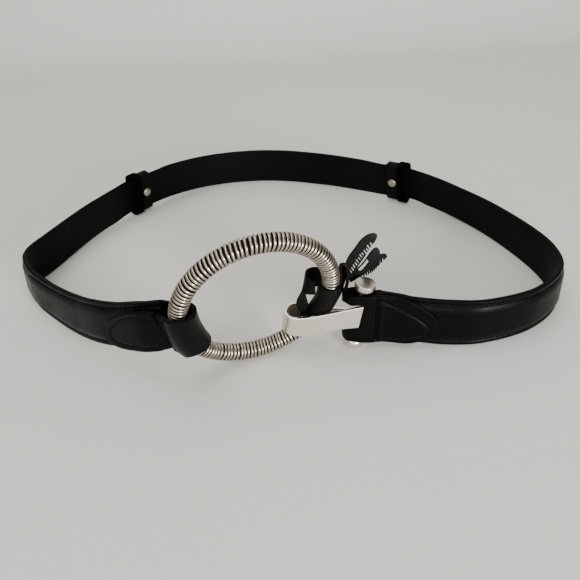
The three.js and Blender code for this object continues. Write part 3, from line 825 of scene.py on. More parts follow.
@dataclass
class Straps:
    """The two side straps, which run on behind the back strap's ends, and the back strap. Where two layers
    share a keeper both are skived thin."""

    route: Route
    finishes: Finishes
    thread: Thread = Thread()
    left_place: float = 10.77  # the keepers' places along the route, counted in rows
    right_place: float = 15.65
    keeper_half: float = 7.5
    back_past: float = 1.0  # how far the back strap's ends stand out of the keepers
    overlap: float = 2.0
    skive_length: float = 16.0
    skive_spare: float = 3.0
    start: float = 0.36  # where the left strap begins, behind its tab
    fine: float = 0.85  # spacing of the mesh along the strap
    fine_across: float = 1.4
    near_groove: float = 1.2  # how far from the groove's middle the mesh is finer
    groove_places: int = 13
    least_step: float = 0.04
    rough_places: int = 400  # where a strap's length is measured
    pull: float = 0.75  # the groove's mean depth, as a share of its depth where the thread goes in
    seam_ends: int = 4  # rows of the mesh that the seams stay off each end
    stitch_lift: float = 0.02

    @property
    def layer_middle(self) -> float:
        """How far a skived layer's middle lies off the route."""
        return (self.route.strap.thin + CLEARANCE) / 2

    @property
    def back_end(self) -> float:
        """How far the back strap's end lies from its keeper's middle."""
        return self.keeper_half + self.back_past

    def taper(self, at: Array, keeper: float, away: float, way: int) -> Array:
        """The share of a taper that is done, by a smooth step.

        Args:
            at: places along the route, counted in rows.
            keeper: the place of the keeper that it belongs to.
            away: how far past the keeper's middle it starts.
            way: 1 where it grows along the route and -1 where it grows against it.

        Returns:
            Shares from 0 to 1.
        """
        start = keeper + way * self.route.rows_for(away, keeper)
        end = start + way * self.route.rows_for(self.skive_length, keeper)
        return smooth_step((at - start) / (end - start))

    def band(self, first: float, last: float, side: int,
             skived: Callable[[Array], Array]) -> tuple[Patch, Array]:
        """The middle of a length of strap, and its thickness at each row.

        Args:
            first: the place where it begins, counted in rows.
            last: the place where it ends.
            side: 1 for the layer outside in a keeper, -1 for the one inside.
            skived: how far it is thinned at each place, from 0 to 1.

        Returns:
            The patch, and a column of thicknesses.
        """
        size = self.route.strap
        rough = np.linspace(first, last, self.rough_places)
        offset = side * self.layer_middle
        length = lengths_along(self.route.on_face(rough, offset * skived(rough), size.height / 2))
        along = spaced(length[-1], self.fine, size.rim.depth)
        at = np.interp(along, length, rough)
        foot, _, out, rise = self.route.axes(at)
        near = np.linspace(size.margin - self.near_groove, size.margin + self.near_groove,
                           self.groove_places)
        across = np.unique(np.concatenate([
            spaced(size.height, self.fine_across, size.rim.depth), near, size.height - near]))
        across = across[np.concatenate([[True], np.diff(across) > self.least_step])]
        across[-1] = size.height
        middle = foot + out * (offset * skived(at))[:, None]
        points = middle[:, None] + rise[:, None] * across[:, None]
        thick = size.thick + (size.thin - size.thick) * skived(at)
        return Patch(points, along, np.broadcast_to(across, points.shape[:2])), thick[:, None]

    def padding(self, _: Array, along: Array, across: Array) -> Array:
        """How far the outer face sinks: the margin's drop, the crown's rise by a cosine from the groove on,
        and the groove as a bell curve that is deepest where the thread goes in.

        Args:
            _: the face's points, not used.
            along: distances along the strap.
            across: distances from its first edge.

        Returns:
            How far each point is moved out, which is below zero.
        """
        size = self.route.strap
        from_edge = np.minimum(across, size.height - across)
        rise = np.clip((from_edge - size.margin) / size.shoulder, 0, 1)
        crown = size.margin_drop * (0.5 + 0.5 * np.cos(np.pi * rise))
        pull = self.pull + (1 - self.pull) * np.cos(2 * np.pi * along / self.thread.pitch)
        return -crown - size.groove * bell(from_edge - size.margin, size.groove_width) * pull

    def seam_lines(self, patch: Patch, thick: Array) -> list[tuple[Array, Array]]:
        """The two stitched lines on a strap's outer face.

        Args:
            patch: the middle of the strap's leather.
            thick: its thickness at each row.

        Returns:
            For each line, its points and the outward directions there.
        """
        size = self.route.strap
        rows = slice(self.seam_ends, -self.seam_ends)
        depth = thick[rows] / 2 - size.margin_drop - size.groove * self.pull
        lines = []
        for height in (size.margin, size.height - size.margin):
            column = int(np.argmin(np.abs(patch.across[0] - height)))
            out = patch.normals()[rows, column]
            lines.append((patch.points[rows, column] + out * depth, out))
        return lines

    def side_strap(self, name: str, side: Side, first: float, keeper: float) -> None:
        """Makes one side strap, which thins before the back strap's end and runs on outside it.

        Args:
            name: the strap's node.
            side: which side it is on.
            first: where it begins, at its tab.
            keeper: its keeper's place.
        """
        last = keeper + side * self.route.rows_for(self.keeper_half + self.overlap, keeper)
        away = -(self.back_end + self.skive_spare + self.skive_length)

        def skived(at: Array) -> Array:
            """How far the strap is thinned at each place."""
            return self.taper(at, keeper, away, side)

        self.dress(name, *self.band(min(first, last), max(first, last), 1, skived))

    def back_strap(self) -> None:
        """Makes the back strap, which is thin as far as the side straps run on behind it."""
        first = self.left_place - self.route.rows_for(self.back_end, self.left_place)
        last = self.right_place + self.route.rows_for(self.back_end, self.right_place)
        away = self.keeper_half + self.overlap + self.skive_spare

        def skived(at: Array) -> Array:
            """How far the strap is thinned at each place."""
            return 1 - self.taper(at, self.left_place, away, 1) * self.taper(at, self.right_place, away, -1)

        self.dress("strap_back", *self.band(first, last, -1, skived))

    def dress(self, name: str, patch: Patch, thick: Array) -> None:
        """Makes one strap and its stitches.

        Args:
            name: the strap's node, which the piece stands for.
            patch: the middle of the strap.
            thick: its thickness at each row.
        """
        shell = patch.thickened(thick, self.route.strap.rim, self.padding)
        make_piece(name + "_leather", shell, self.finishes.leather, [name])
        seams = [self.thread.stitches(*line, self.stitch_lift) for line in self.seam_lines(patch, thick)]
        make_piece(name + "_stitches", Shell.joined(seams), [self.finishes.thread])

    def build(self) -> None:
        """Builds the three straps."""
        self.side_strap("strap_left", Side.LEFT, self.start, self.left_place)
        self.side_strap("strap_right", Side.RIGHT, float(self.route.last), self.right_place)
        self.back_strap()


@dataclass
class Keepers:
    """The leather loops round both layers of strap. Each has a dome stud on its inner face, and its outer
    part is covered by a soft roll in deep matt black: painted shade for the dark opening where the side
    strap goes into the loop."""

    straps: Straps
    finishes: Finishes
    width: float = 15.0
    wall: float = 1.0
    rim: Rim = Rim(0.6, 2.4)
    room: float = 0.75
    corner: float = 2.4
    corner_places: int = 7
    bulge: float = 0.25  # how far the middle of the loop's long sides stands out
    fine: float = 1.0  # spacing of the mesh round the loop
    fine_across: float = 0.8
    fine_rim: float = 0.7
    least_step: float = 0.3
    crease_depth: float = 0.12
    crease_inset: float = 1.6  # from the loop's edge
    crease_width: float = 0.35
    shade_roll_width: float = 7.2
    shade_roll_wall: float = 1.3
    shade_roll_rim: Rim = Rim(1.6, 2.0)
    shade_roll_past: float = 0.7  # how far the roll reaches past the loop's outer end
    shade_roll_sink: float = 0.1  # how far it overlaps the loop's wall
    stud_radius: float = 3.1
    stud_height: float = 1.5
    stud_foot: float = 0.35  # how high its straight side is
    stud_sink: float = 0.25  # how far its foot reaches into the loop's wall
    stud_bevel: tuple[float, float] = (0.12, 0.15)  # in and up, round its foot
    stud_power: float = 0.9  # of the dome's outline: 1 is an ellipse
    stud_aside: float = 3.0  # how far it sits from the keeper's middle
    stud_places: int = 12
    stud_steps: int = 40

    def loop(self, place: float, width: float, aside: float = 0.0, grow: float = 0.0) -> Patch:
        """The middle of a loop's wall: a rectangle with round corners, carried across the loop's width.

        Args:
            place: the keeper's place along the route, counted in rows.
            width: the loop's width.
            aside: how far along the strap its middle lies from the keeper's.
            grow: how far its wall lies outside the keeper's.

        Returns:
            The patch, closed along its length.
        """
        route, size = self.straps.route, self.straps.route.strap
        _, ahead, _, rise = (axis[0] for axis in route.axes(place))
        centre = route.on_face(place, 0.0, size.height / 2)[0]
        out = np.cross(rise, ahead)
        half_deep = size.thin + CLEARANCE / 2 + self.room + self.wall / 2 + grow
        half_tall = size.height / 2 + self.room + self.wall / 2 + grow
        corner = self.corner + grow
        corners = []
        quarter = np.linspace(0, np.pi / 2, self.corner_places)
        for k, (a, b) in enumerate(((1, 1), (-1, 1), (-1, -1), (1, -1))):
            angle = quarter + k * np.pi / 2
            corners.append(np.stack([a * (half_deep - corner) + corner * np.cos(angle),
                                     b * (half_tall - corner) + corner * np.sin(angle)], axis=-1))
        outline = np.concatenate([*corners, corners[0][:1]])
        length = lengths_along(outline)
        even = np.arange(0, length[-1] - self.least_step, self.fine)
        along = np.unique(np.concatenate([length[:-1], even]))
        flat = between(along, length, outline)
        on_side = np.abs(flat[:, 0]) > half_deep - self.wall / 2
        bulge = self.bulge * np.cos(np.pi * np.clip(flat[:, 1] / half_tall, -1, 1) / 2)
        flat[:, 0] += np.sign(flat[:, 0]) * bulge * on_side
        across = spaced(width, self.fine_across, self.fine_rim)
        points = (centre + flat[:, None, :1] * out + flat[:, None, 1:] * rise
                  + (across[:, None] - width / 2 + aside) * ahead)
        return Patch(points, along, np.broadcast_to(across, points.shape[:2]), closed=True)

    def creases(self, _: Array, __: Array, across: Array) -> Array:
        """Two shallow pressed lines near the keeper's edges, as bell curves across its width."""
        from_edge = np.minimum(across, self.width - across)
        return -self.crease_depth * bell(from_edge - self.crease_inset, self.crease_width)

    def stud(self, name: str, place: float, side: Side) -> None:
        """Makes a dome stud: a low dome on a short straight foot.

        Args:
            name: the stud's node, which the piece stands for.
            place: the keeper's place along the route.
            side: which side it is on.
        """
        route, size = self.straps.route, self.straps.route.strap
        face = -(size.thin + CLEARANCE / 2 + self.room + self.wall + CLEARANCE)
        _, ahead, _, rise = (axis[0] for axis in route.axes(place))
        foot = route.on_face(place, face, size.height / 2)[0] + ahead * side * self.stud_aside
        angle = np.linspace(0, np.pi / 2, self.stud_places)
        dome = np.stack([self.stud_radius * np.cos(angle) ** self.stud_power,
                         self.stud_foot + (self.stud_height - self.stud_foot) * np.sin(angle)], axis=-1)
        dome[-1, 0] = 0
        bevel_in, bevel_up = self.stud_bevel
        low = [[0, -self.stud_sink], [self.stud_radius - bevel_in, -self.stud_sink],
               [self.stud_radius, bevel_up - self.stud_sink]]
        shell = turned_shell(np.concatenate([low, dome]), foot, -np.cross(rise, ahead), self.stud_steps)
        make_piece(name + "_dome", shell, [self.finishes.darkened], [name])

    def build(self) -> None:
        """Builds both keepers and their studs."""
        aside = (self.width - self.shade_roll_width) / 2 + self.shade_roll_past
        grow = (self.wall + self.shade_roll_wall) / 2 - self.shade_roll_sink
        for side, place in ((Side.LEFT, self.straps.left_place), (Side.RIGHT, self.straps.right_place)):
            name = side.name.lower()
            loop = self.loop(place, self.width).thickened(self.wall, self.rim, self.creases)
            make_piece(f"keeper_{name}_loop", loop, self.finishes.leather, [f"keeper_{name}"])
            # Painted shade: a soft deep black roll over each loop's outer part, where the side strap goes
            # into the keeper in shadow.
            roll = self.loop(place, self.shade_roll_width, -side * aside, grow)
            make_piece(f"keeper_{name}_roll", roll.thickened(self.shade_roll_wall, self.shade_roll_rim),
                       [self.finishes.shade_black] * 3)
            self.stud(f"stud_{name}", place, side)


@dataclass
class WoundRing:
    """The ring: a core wound with round wire in a helix whose turns lie side by side."""

    finishes: Finishes
    centre: tuple[float, float, float] = (-10.7, -108.2, 40.5)
    turn_deg: float = 17.6  # how far the ring's face turns to the right of straight ahead
    tip_deg: float = 14.4  # how far its top leans towards the front
    middle: float = 37.0
    radius: float = 4.5
    turns: int = 122
    wire: float = 0.8
    steps_per_turn: int = 26
    sides: int = 10
    stray: float = 0.13  # how far a turn strays from its place, as a share of the pitch
    seed: int = 11
    # Slow drifts of the turns: the share of the pitch, the waves round the ring, and the starting angle.
    drifts: tuple[tuple[float, int, float], ...] = ((0.12, 3, 0.0), (0.1, 7, 1.3))
    core_sink: float = 1.25  # how far the core lies inside the winding's crests, as a share of the wire
    core_steps: tuple[int, int] = (240, 24)  # round the ring and round the tube

    def __post_init__(self) -> None:
        """Works out the ring's own axes from its two angles."""
        turn, tip = np.radians(self.turn_deg), np.radians(self.tip_deg)
        self.right = np.array([np.cos(turn), np.sin(turn), 0])
        self.facing = np.array([np.sin(turn) * np.cos(tip), -np.cos(turn) * np.cos(tip), -np.sin(tip)])
        self.rise = unit(np.cross(self.facing, self.right))
        self.place = np.array(self.centre) + TABLE_SHIFT

    def out(self, angle: Array) -> Array:
        """Outward directions at angles round the ring, in radians, from its right side up over the top."""
        return np.cos(angle)[..., None] * self.right + np.sin(angle)[..., None] * self.rise

    def round_tube(self, degrees: Array, radius: Array, swing: Array) -> Array:
        """Points round the tube. swing counts from the side facing the ring's middle, towards the front.

        Args:
            degrees: angles round the ring.
            radius: distances from the tube's centre line.
            swing: angles round the tube, in degrees.

        Returns:
            The points.
        """
        angle, swing = np.radians(degrees), np.radians(swing)
        out = self.out(angle)
        return (self.place + out * (self.middle - radius * np.cos(swing))[..., None]
                + self.facing * (radius * np.sin(swing))[..., None])

    def winding(self) -> Shell:
        """The wire: its centre line goes round the tube turns times while it goes once round the ring, and
        its section is a circle in the plane of the outward direction and the one square to the wire.

        Returns:
            The shell, closed both ways, with a mark of 1 on the crests and 0 where turns touch.
        """
        count = self.turns * self.steps_per_turn
        along = np.arange(count) / count
        stray = np.random.default_rng(self.seed).uniform(-1, 1, self.turns) * self.stray
        places = (np.arange(self.turns) + 0.5) / self.turns
        slow = sum(share * np.sin(2 * np.pi * waves * along + start) for share, waves, start in self.drifts)
        shift = np.interp(along, places, stray, period=1.0) + slow
        out = self.out(2 * np.pi * (along + shift / self.turns))
        swing = 2 * np.pi * self.turns * along
        away = out * np.cos(swing)[:, None] + self.facing * np.sin(swing)[:, None]
        line = self.place + out * self.middle + away * (self.radius - self.wire)
        ahead = unit(np.roll(line, -1, axis=0) - np.roll(line, 1, axis=0))
        side = unit(np.cross(ahead, away))
        section = np.linspace(0, 2 * np.pi, self.sides, endpoint=False)[:, None]
        ring = np.cos(section) * away[:, None] + np.sin(section) * side[:, None]
        points = line[:, None] + self.wire * ring
        marks = np.tile(np.cos(section).ravel(), count)
        return Shell.of_grid(points, quads_of(count, self.sides, wrap_rows=True, wrap_columns=True), marks)

    def core(self) -> Shell:
        """The core that shows between the turns: a plain round tube under the wire.

        Returns:
            The shell, with a mark of 0 all over.
        """
        radius = self.radius - self.core_sink * self.wire
        turns = (np.linspace(0, 360, steps, endpoint=False) for steps in self.core_steps)
        angle, swing = np.meshgrid(*turns, indexing="ij")
        points = self.round_tube(angle, np.full(angle.shape, radius), swing)
        return Shell.of_grid(points, quads_of(*self.core_steps, wrap_rows=True, wrap_columns=True),
                             np.zeros(angle.size))

    def build(self) -> None:
        """Builds the winding and its core."""
        make_piece("ring_winding", self.winding(), [self.finishes.wire], ["ring"])
        make_piece("ring_core", self.core(), [self.finishes.wire])


@dataclass
class Tongue:
    """What both tabs share: leather that lies on the strap's back and on its front, with a seam and a
    crease pressed into it, whose points have a place on the route and a height up the strap's face."""

    route: Route
    finishes: Finishes
    thread: Thread = Thread(pitch=3.4, gap=0.8, radius=0.34)
    thick: float = 2.0
    rim: Rim = Rim(0.55, 2.4)
    fine: float = 0.55
    columns: int = 9
    stitch_line: Table = ()
    stitch_lift: float = -0.12
    groove: float = 0.5
    groove_width: float = 0.6
    crease: Table = ()
    crease_depth: float = 1.3
    crease_width: float = 0.65
    crease_counts: tuple[float, float, float] = (1.0, 1.0, 1.0)  # 0 leaves its distance in x, y or z out
    swell: float = 0.35  # how far the leather stands up next to the crease
    swell_at: float = 1.8
    swell_width: float = 0.9

    @property
    def outside(self) -> float:
        """How far outside the route the middle of the leather lies."""
        return (self.route.strap.thick + self.thick) / 2 + CLEARANCE

    def on_strap(self, rows: Table, outside: float) -> Array:
        """Control points of leather that lies along the strap. Each row has a place on the route and a
        height up the strap's face for the lower edge, and the same for the upper one.

        Args:
            rows: the rows, in order along the leather.
            outside: how far outside the route the leather lies.

        Returns:
            One row of points for each row.
        """
        table = np.array(rows)
        share = np.linspace(0, 1, self.columns)
        at = table[:, :1] + (table[:, 2:3] - table[:, :1]) * share
        height = table[:, 1:2] + (table[:, 3:4] - table[:, 1:2]) * share
        return self.route.on_face(at.ravel(), outside, height.ravel()).reshape(len(table), self.columns, 3)

    def line_on_strap(self, rows: Table) -> Array:
        """Close points on a line drawn on the tongue's face, a smooth curve through places and heights.

        Args:
            rows: places on the route, and heights up the strap's face.

        Returns:
            The line's points.
        """
        table = np.array(rows)
        points = self.route.on_face(table[:, 0], self.outside + self.thick / 2, table[:, 1])
        return catmull(points, np.linspace(0, len(points) - 1, SEAM_STEPS * (len(points) - 1) + 1))

    def dress(self, name: str, patch: Patch, keep: Array | None = None) -> None:
        """Makes the tab's leather and its stitches.

        Args:
            name: the tab's node, which the leather stands for.
            patch: the middle of the leather.
            keep: which cells of the patch are leather. Left out, all are.
        """
        seam, crease = self.line_on_strap(self.stitch_line), self.line_on_strap(self.crease)
        counts = np.array(self.crease_counts)

        def pressed(points: Array, _: Array, __: Array) -> Array:
            """The stitched groove, the crease and the swell next to it, as bell curves of the distance.

            Args:
                points: the leather's outer side.
                _: distances along the tab, not used.
                __: distances across it, not used.

            Returns:
                How far each point is moved out.
            """
            groove = self.groove * bell(distance_to(points, seam), self.groove_width)
            fold = distance_to(points * counts, crease * counts)
            crease_depth = self.crease_depth * bell(fold, self.crease_width)
            return -groove - crease_depth + self.swell * bell(fold - self.swell_at, self.swell_width)

        shell = patch.thickened(self.thick, self.rim, pressed, keep)
        make_piece(name + "_leather", shell, self.finishes.leather, [name])
        stitches = self.thread.stitches(seam, nearest_normals(seam, patch), self.stitch_lift)
        make_piece(name + "_stitches", stitches, [self.finishes.thread])


def distance_to(points: Array, line: Array, chunk: int = 40) -> Array:
    """How far each point of a grid lies from a line of close points.

    Args:
        points: the grid.
        line: the line's points.
        chunk: how many of the line's points are measured at once.

    Returns:
        Distances, in the grid's own shape.
    """
    flat = points.reshape(-1, 3)
    near = np.full(len(flat), np.inf)
    for part in np.array_split(line, max(len(line) // chunk, 1)):
        near = np.minimum(near, np.linalg.norm(flat[:, None] - part[None], axis=-1).min(axis=1))
    return near.reshape(points.shape[:-1])


def nearest_normals(line: Array, patch: Patch, stride: int = 10) -> Array:
    """The patch's outward directions along a line.

    Args:
        line: close points.
        patch: the patch that they lie on.
        stride: the point nearest to the line is looked for at every so many points of it.

    Returns:
        One direction for each point.
    """
    flat, normals = patch.points.reshape(-1, 3), patch.normals().reshape(-1, 3)
    nearest = [int(np.argmin(((flat - point) ** 2).sum(axis=1))) for point in line[::stride]]
    return unit(between(np.arange(len(line)) / stride, np.arange(len(nearest)), normals[nearest]))


@dataclass
class LeftTab(Tongue):
    """One band of leather that lies on the left strap's back, goes round the ring's tube as a sleeve and
    comes back as a stitched tongue, with a slanted crease between the sleeve and the tongue."""

    ring: WoundRing | None = None
    back: Table = (
        (2.62, 2.0, 2.68, 23.2), (2.3, -0.2, 2.35, 24.6), (1.6, -0.6, 1.6, 25.0), (1.0, -0.6, 1.0, 24.8),
        (0.5, -0.2, 0.45, 24.6),
    )
    # Swing round the tube, and the places on the ring of the lower and upper edge.
    sleeve: Table = (
        (-95, 214, 172), (-55, 216, 171), (-25, 217, 169), (0, 217.5, 167), (20, 217, 168), (40, 216, 168),
        (65, 213, 167), (90, 210.5, 167), (115, 210, 168.5), (140, 211, 170.5),
    )
    front: Table = (
        (0.2, 0.8, 0.5, 22.8), (0.6, 0.0, 0.75, 23.6), (1.1, -0.2, 1.1, 23.6), (1.7, 0.0, 1.7, 22.6),
        (2.3, 0.6, 2.3, 21.4), (2.95, 2.0, 2.95, 19.8), (3.37, 4.6, 3.37, 17.0), (3.56, 7.4, 3.56, 14.0),
        (3.63, 9.6, 3.63, 12.0),
    )
    stitch_line: Table = (
        (0.62, 19.6), (1.0, 20.6), (1.6, 19.9), (2.35, 18.2), (2.92, 15.6), (3.16, 12.6), (3.19, 9.0),
        (2.92, 5.6), (2.25, 3.6), (1.4, 2.9), (0.62, 3.2),
    )
    crease: Table = ((0.53, 22.6), (0.5, 20.2), (0.32, 9.6), (0.22, 0.6))
    round_room: float = 1.5
    least_room: float = 0.7
    straight: float = 0.5  # how far the middle leaves the ring's curve for a straight line, as a share

    def sleeve_rows(self) -> Array:
        """Control points round the tube. Half way up, the leather keeps straighter than the ring on the
        ring's inner side by a share of the arc's rise, and clears the winding on the outer side.

        Returns:
            One row of points for each row of the table.
        """
        table = np.array(self.sleeve, float)
        swing, low, high = table[:, 0], table[:, 1], table[:, 2]
        tube = self.ring.radius + self.thick / 2
        radius = tube + self.round_room
        half = np.radians((low - high) / 2)
        inwards = np.cos(np.radians(swing)) * self.straight
        middle = radius + self.ring.middle * (1 - np.cos(half)) * inwards
        middle = np.maximum(middle, tube + self.least_room)
        share = np.linspace(0, 1, self.columns)
        bulge = 1 - (2 * share - 1) ** 2
        place = low[:, None] + (high - low)[:, None] * share
        off = radius + (middle - radius)[:, None] * bulge
        return self.ring.round_tube(place, off, np.broadcast_to(swing[:, None], place.shape))

    def build(self) -> None:
        """Builds the tab."""
        control = np.concatenate([self.on_strap(self.back, -self.outside), self.sleeve_rows(),
                                  self.on_strap(self.front, self.outside)])
        self.dress("tab_left", Patch.through(control, self.fine, self.rim.depth))


@dataclass
class RightTab(Tongue):
    """One piece of leather that lies on the right strap's back, folds round the pin and comes back along
    the front as a stitched tongue, with a slot for the hook in its fold."""

    back: Table = (
        (24.8, 1.4, 24.8, 23.4), (25.1, -0.6, 25.1, 24.6), (25.9, -1.0, 25.9, 24.8),
        (26.9, -1.2, 26.9, 26.0),
    )
    # Upright lines round the fold: x, y and the heights of the lower and upper edge.
    fold: Table = (
        (43.5, -91.2, 4.8, 32.2), (39.5, -90.3, 5.5, 32.6), (35.6, -90.5, 5.6, 33.0),
        (32.6, -92.2, 5.7, 33.2), (31.4, -94.8, 6.6, 33.0), (32.6, -97.4, 5.7, 33.4),
        (35.6, -99.0, 5.5, 33.7), (39.5, -99.5, 5.0, 33.8), (43.5, -99.4, 4.5, 33.4),
    )
    front: Table = (
        (26.95, -1.4, 26.95, 27.2), (26.0, -1.0, 26.0, 26.8), (25.2, 0.2, 25.2, 26.2),
        (24.7, 1.8, 24.7, 24.8), (24.2, 4.0, 24.2, 21.8), (23.8, 6.4, 23.8, 18.6),
        (23.58, 8.8, 23.58, 15.4), (23.5, 10.8, 23.5, 13.4),
    )
    stitch_line: Table = (
        (26.83, 24.2), (25.98, 22.0), (25.53, 20.5), (25.03, 18.7), (24.53, 16.0), (24.12, 12.6),
        (24.08, 10.6), (24.3, 8.0), (24.84, 5.1), (25.41, 2.9), (26.35, 2.0),
    )
    crease: Table = ((26.93, 25.6), (26.93, 17.0), (26.98, 8.0), (27.0, 0.2))
    crease_depth: float = 1.0
    crease_counts: tuple[float, float, float] = (1.0, 0.0, 1.0)
    swell_at: float = 1.9
    swell_width: float = 1.0
    slot_low: float = 14.9
    slot_to: float = 39.4
    slot_split: float = -96.3  # the y where its front and back parts meet
    slot_blend: float = 0.8
    slot_columns: tuple[float, float] = (0.35, 0.72)  # the mesh's columns on its edges, as shares of all
    # The x and the height of points on the slot's upper edge, in front and behind.
    slot_front: Table = ((30.0, 30.4), (35.0, 28.4), (43.2, 30.2))
    slot_behind: Table = ((30.0, 30.4), (37.0, 22.8), (43.2, 22.4))
    relax: float = 7.0  # how far past the slot its edges' lines run on before they fade

    def build(self) -> None:
        """Builds the tab, from its front to its back so that its faces look out."""
        table = np.array(self.fold)
        height = table[:, 2:3] + (table[:, 3:4] - table[:, 2:3]) * np.linspace(0, 1, self.columns)
        flat = np.broadcast_to(table[:, None, :2], (*height.shape, 2))
        fold = np.concatenate([flat, height[..., None]], axis=-1) + TABLE_SHIFT
        control = np.concatenate([self.on_strap(self.back, -self.outside), fold,
                                  self.on_strap(self.front, self.outside)])[::-1]
        patch = Patch.through(control, self.fine, self.rim.depth)
        self.dress("tab_right", patch, self.cut_slot(patch))

    def slot_top(self, places: Array) -> Array:
        """The height of the slot's upper edge: one line of points in front, another behind, and a straight
        blend from one to the other.

        Args:
            places: points in the middle of the leather.

        Returns:
            The edge's height at each point.
        """
        place = places - TABLE_SHIFT
        in_front, behind = (np.interp(place[:, 0], *np.array(line).T)
                            for line in (self.slot_front, self.slot_behind))
        share = np.clip((place[:, 1] - self.slot_split) / self.slot_blend + 0.5, 0, 1)
        return in_front + (behind - in_front) * share

    def cut_slot(self, patch: Patch) -> Array:
        """Finds the cells of the slot, once the patch's columns are slid along its rows so that one lies on
        the slot's lower edge and one on its upper edge.

        Args:
            patch: the tab's patch, whose points are changed.

        Returns:
            Which cells are leather.
        """
        points = patch.points
        rows, columns = points.shape[:2]
        middle = points[:, columns // 2]
        past = (middle[:, 0] - TABLE_SHIFT[0] - self.slot_to) / self.relax
        fade = smooth_step(past)
        low, high = (int(columns * share) for share in self.slot_columns)

        def column_at(level: Array) -> Array:
            """The place across each row where it reaches a height, on a line between two columns.

            Args:
                level: a height for each row.

            Returns:
                Places counted in columns.
            """
            before = np.clip((points[..., 2] < level[:, None]).sum(axis=1) - 1, 0, columns - 2)
            row = np.arange(rows)
            lower, upper = points[row, before, 2], points[row, before + 1, 2]
            return before + np.clip((level - lower) / (upper - lower), 0, 1)

        lower = column_at(np.full(rows, self.slot_low)) * (1 - fade) + low * fade
        upper = column_at(self.slot_top(middle)) * (1 - fade) + high * fade
        k = np.arange(columns)
        lower, upper = lower[:, None], upper[:, None]
        slid = np.where(k < low, k / low * lower, np.where(
            k < high, lower + (k - low) / (high - low) * (upper - lower),
            upper + (k - high) / (columns - 1 - high) * (columns - 1 - upper)))
        cell = np.clip(np.floor(slid).astype(int), 0, columns - 2)
        share = slid - cell
        row = np.arange(rows)[:, None]
        part = share[..., None]
        patch.points = points[row, cell] * (1 - part) + points[row, cell + 1] * part
        patch.across = patch.across[row, cell] * (1 - share) + patch.across[row, cell + 1] * share
        keep = np.ones((rows - 1, columns - 1), bool)
        inside = np.nonzero(past <= 0)[0]
        keep[inside[0]:inside[-1], low:high] = False
        return keep


def edge_control(rows: Table) -> Array:
    """Control points of a band given by its two edges: a row has x, y, z of one, then of the other."""
    return np.array(rows, float).reshape(len(rows), 2, 3) + TABLE_SHIFT


@dataclass
class Hook:
    """A flat metal strip bent back on itself. Its front leg lies over the right tab, and its back leg
    narrows to a bar that ends in an eye round the pin."""

    finishes: Finishes
    pin_foot: Array
    pin_axis: Array
    thick: float = 1.8
    rim: Rim = Rim(0.5, 3.2)
    fine: float = 0.6
    eye_inner: float = 2.3
    eye_outer: float = 3.6
    eye_height: float = 6.2
    eye_middle: float = 18.5
    eye_soft: tuple[float, float] = (0.3, 0.5)  # the roundings of its inner and outer edges
    rows: Table = (
        (38.0, -101.6, 16.6, 40.4, -101.4, 29.0), (28.5, -101.6, 16.0, 28.8, -101.4, 27.0),
        (15.0, -101.8, 13.8, 18.9, -101.7, 25.4), (8.2, -101.7, 13.3, 8.9, -101.5, 24.1),
        (3.2, -100.2, 13.6, 4.2, -99.8, 24.1), (0.7, -95.6, 14.5, 2.0, -95.2, 24.3),
        (2.8, -90.2, 13.8, 4.0, -90.0, 24.3), (8.0, -88.2, 12.4, 8.6, -88.1, 24.2),
        (15.0, -88.0, 12.6, 14.6, -88.0, 22.8), (23.0, -88.3, 13.6, 23.0, -88.3, 19.4),
        (30.0, -90.4, 15.4, 30.0, -90.4, 20.8), (33.6, -92.2, 15.7, 33.8, -92.2, 21.2),
    )

    def build(self) -> None:
        """Builds the strip and its eye as one piece."""
        patch = Patch.through(edge_control(self.rows), self.fine, self.rim.depth)
        middle = self.pin_foot + self.pin_axis * (self.eye_middle - self.pin_foot[2]) / self.pin_axis[2]
        half, (soft_in, soft_out) = self.eye_height / 2, self.eye_soft
        inner, outer = self.eye_inner, self.eye_outer
        loop = [(inner, 0, 0), (inner, half, soft_in), (outer, half, soft_out)]
        eye = turned_shell(rounded_profile(loop + [(r, -z, soft) for r, z, soft in loop[::-1]]), middle,
                           self.pin_axis)
        # Painted shade: the eye and the strip's inner faces take the greyer, duller plate.
        eye.looks[:] = Face.INNER
        # Painted highlight: the strip's rounded edges take the brighter plate.
        plate = [self.finishes.silver, self.finishes.darkened, self.finishes.edge_highlight]
        shell = Shell.joined([patch.thickened(self.thick, self.rim), eye])
        make_piece("hook_plate", shell, plate, ["hook"])


@dataclass
class Pin:
    """A shaft between two button heads, flat on the outside and domed on the shaft's side."""

    finishes: Finishes
    foot_row: tuple[float, float, float] = (36.2, -94.2, 1.0)
    top_row: tuple[float, float, float] = (42.0, -95.0, 38.6)
    # The lower head's outline: a radius, a height over the head's flat face, and a rounding.
    head: Table = (
        (0, 0, 0), (5.05, 0, 0.2), (5.3, 0.25, 0.2), (5.3, 2.9, 0.9), (4.2, 4.2, 0.7), (3.3, 4.4, 0.3),
        (1.9, 4.4, 0.3))

    @property
    def foot(self) -> Array:
        """The middle of the lower head's flat face."""
        return np.array(self.foot_row) + TABLE_SHIFT

    @property
    def axis(self) -> Array:
        """The pin's direction, upwards."""
        return unit(np.array(self.top_row) - np.array(self.foot_row))

    def build(self) -> None:
        """Builds the pin as one turned piece."""
        length = float(np.linalg.norm(np.array(self.top_row) - np.array(self.foot_row)))
        other = [(radius, length - height, soft) for radius, height, soft in reversed(self.head)]
        shell = turned_shell(rounded_profile([*self.head, *other]), self.foot, self.axis)
        make_piece("pin_buttons", shell, [self.finishes.tumbled], ["pin"])


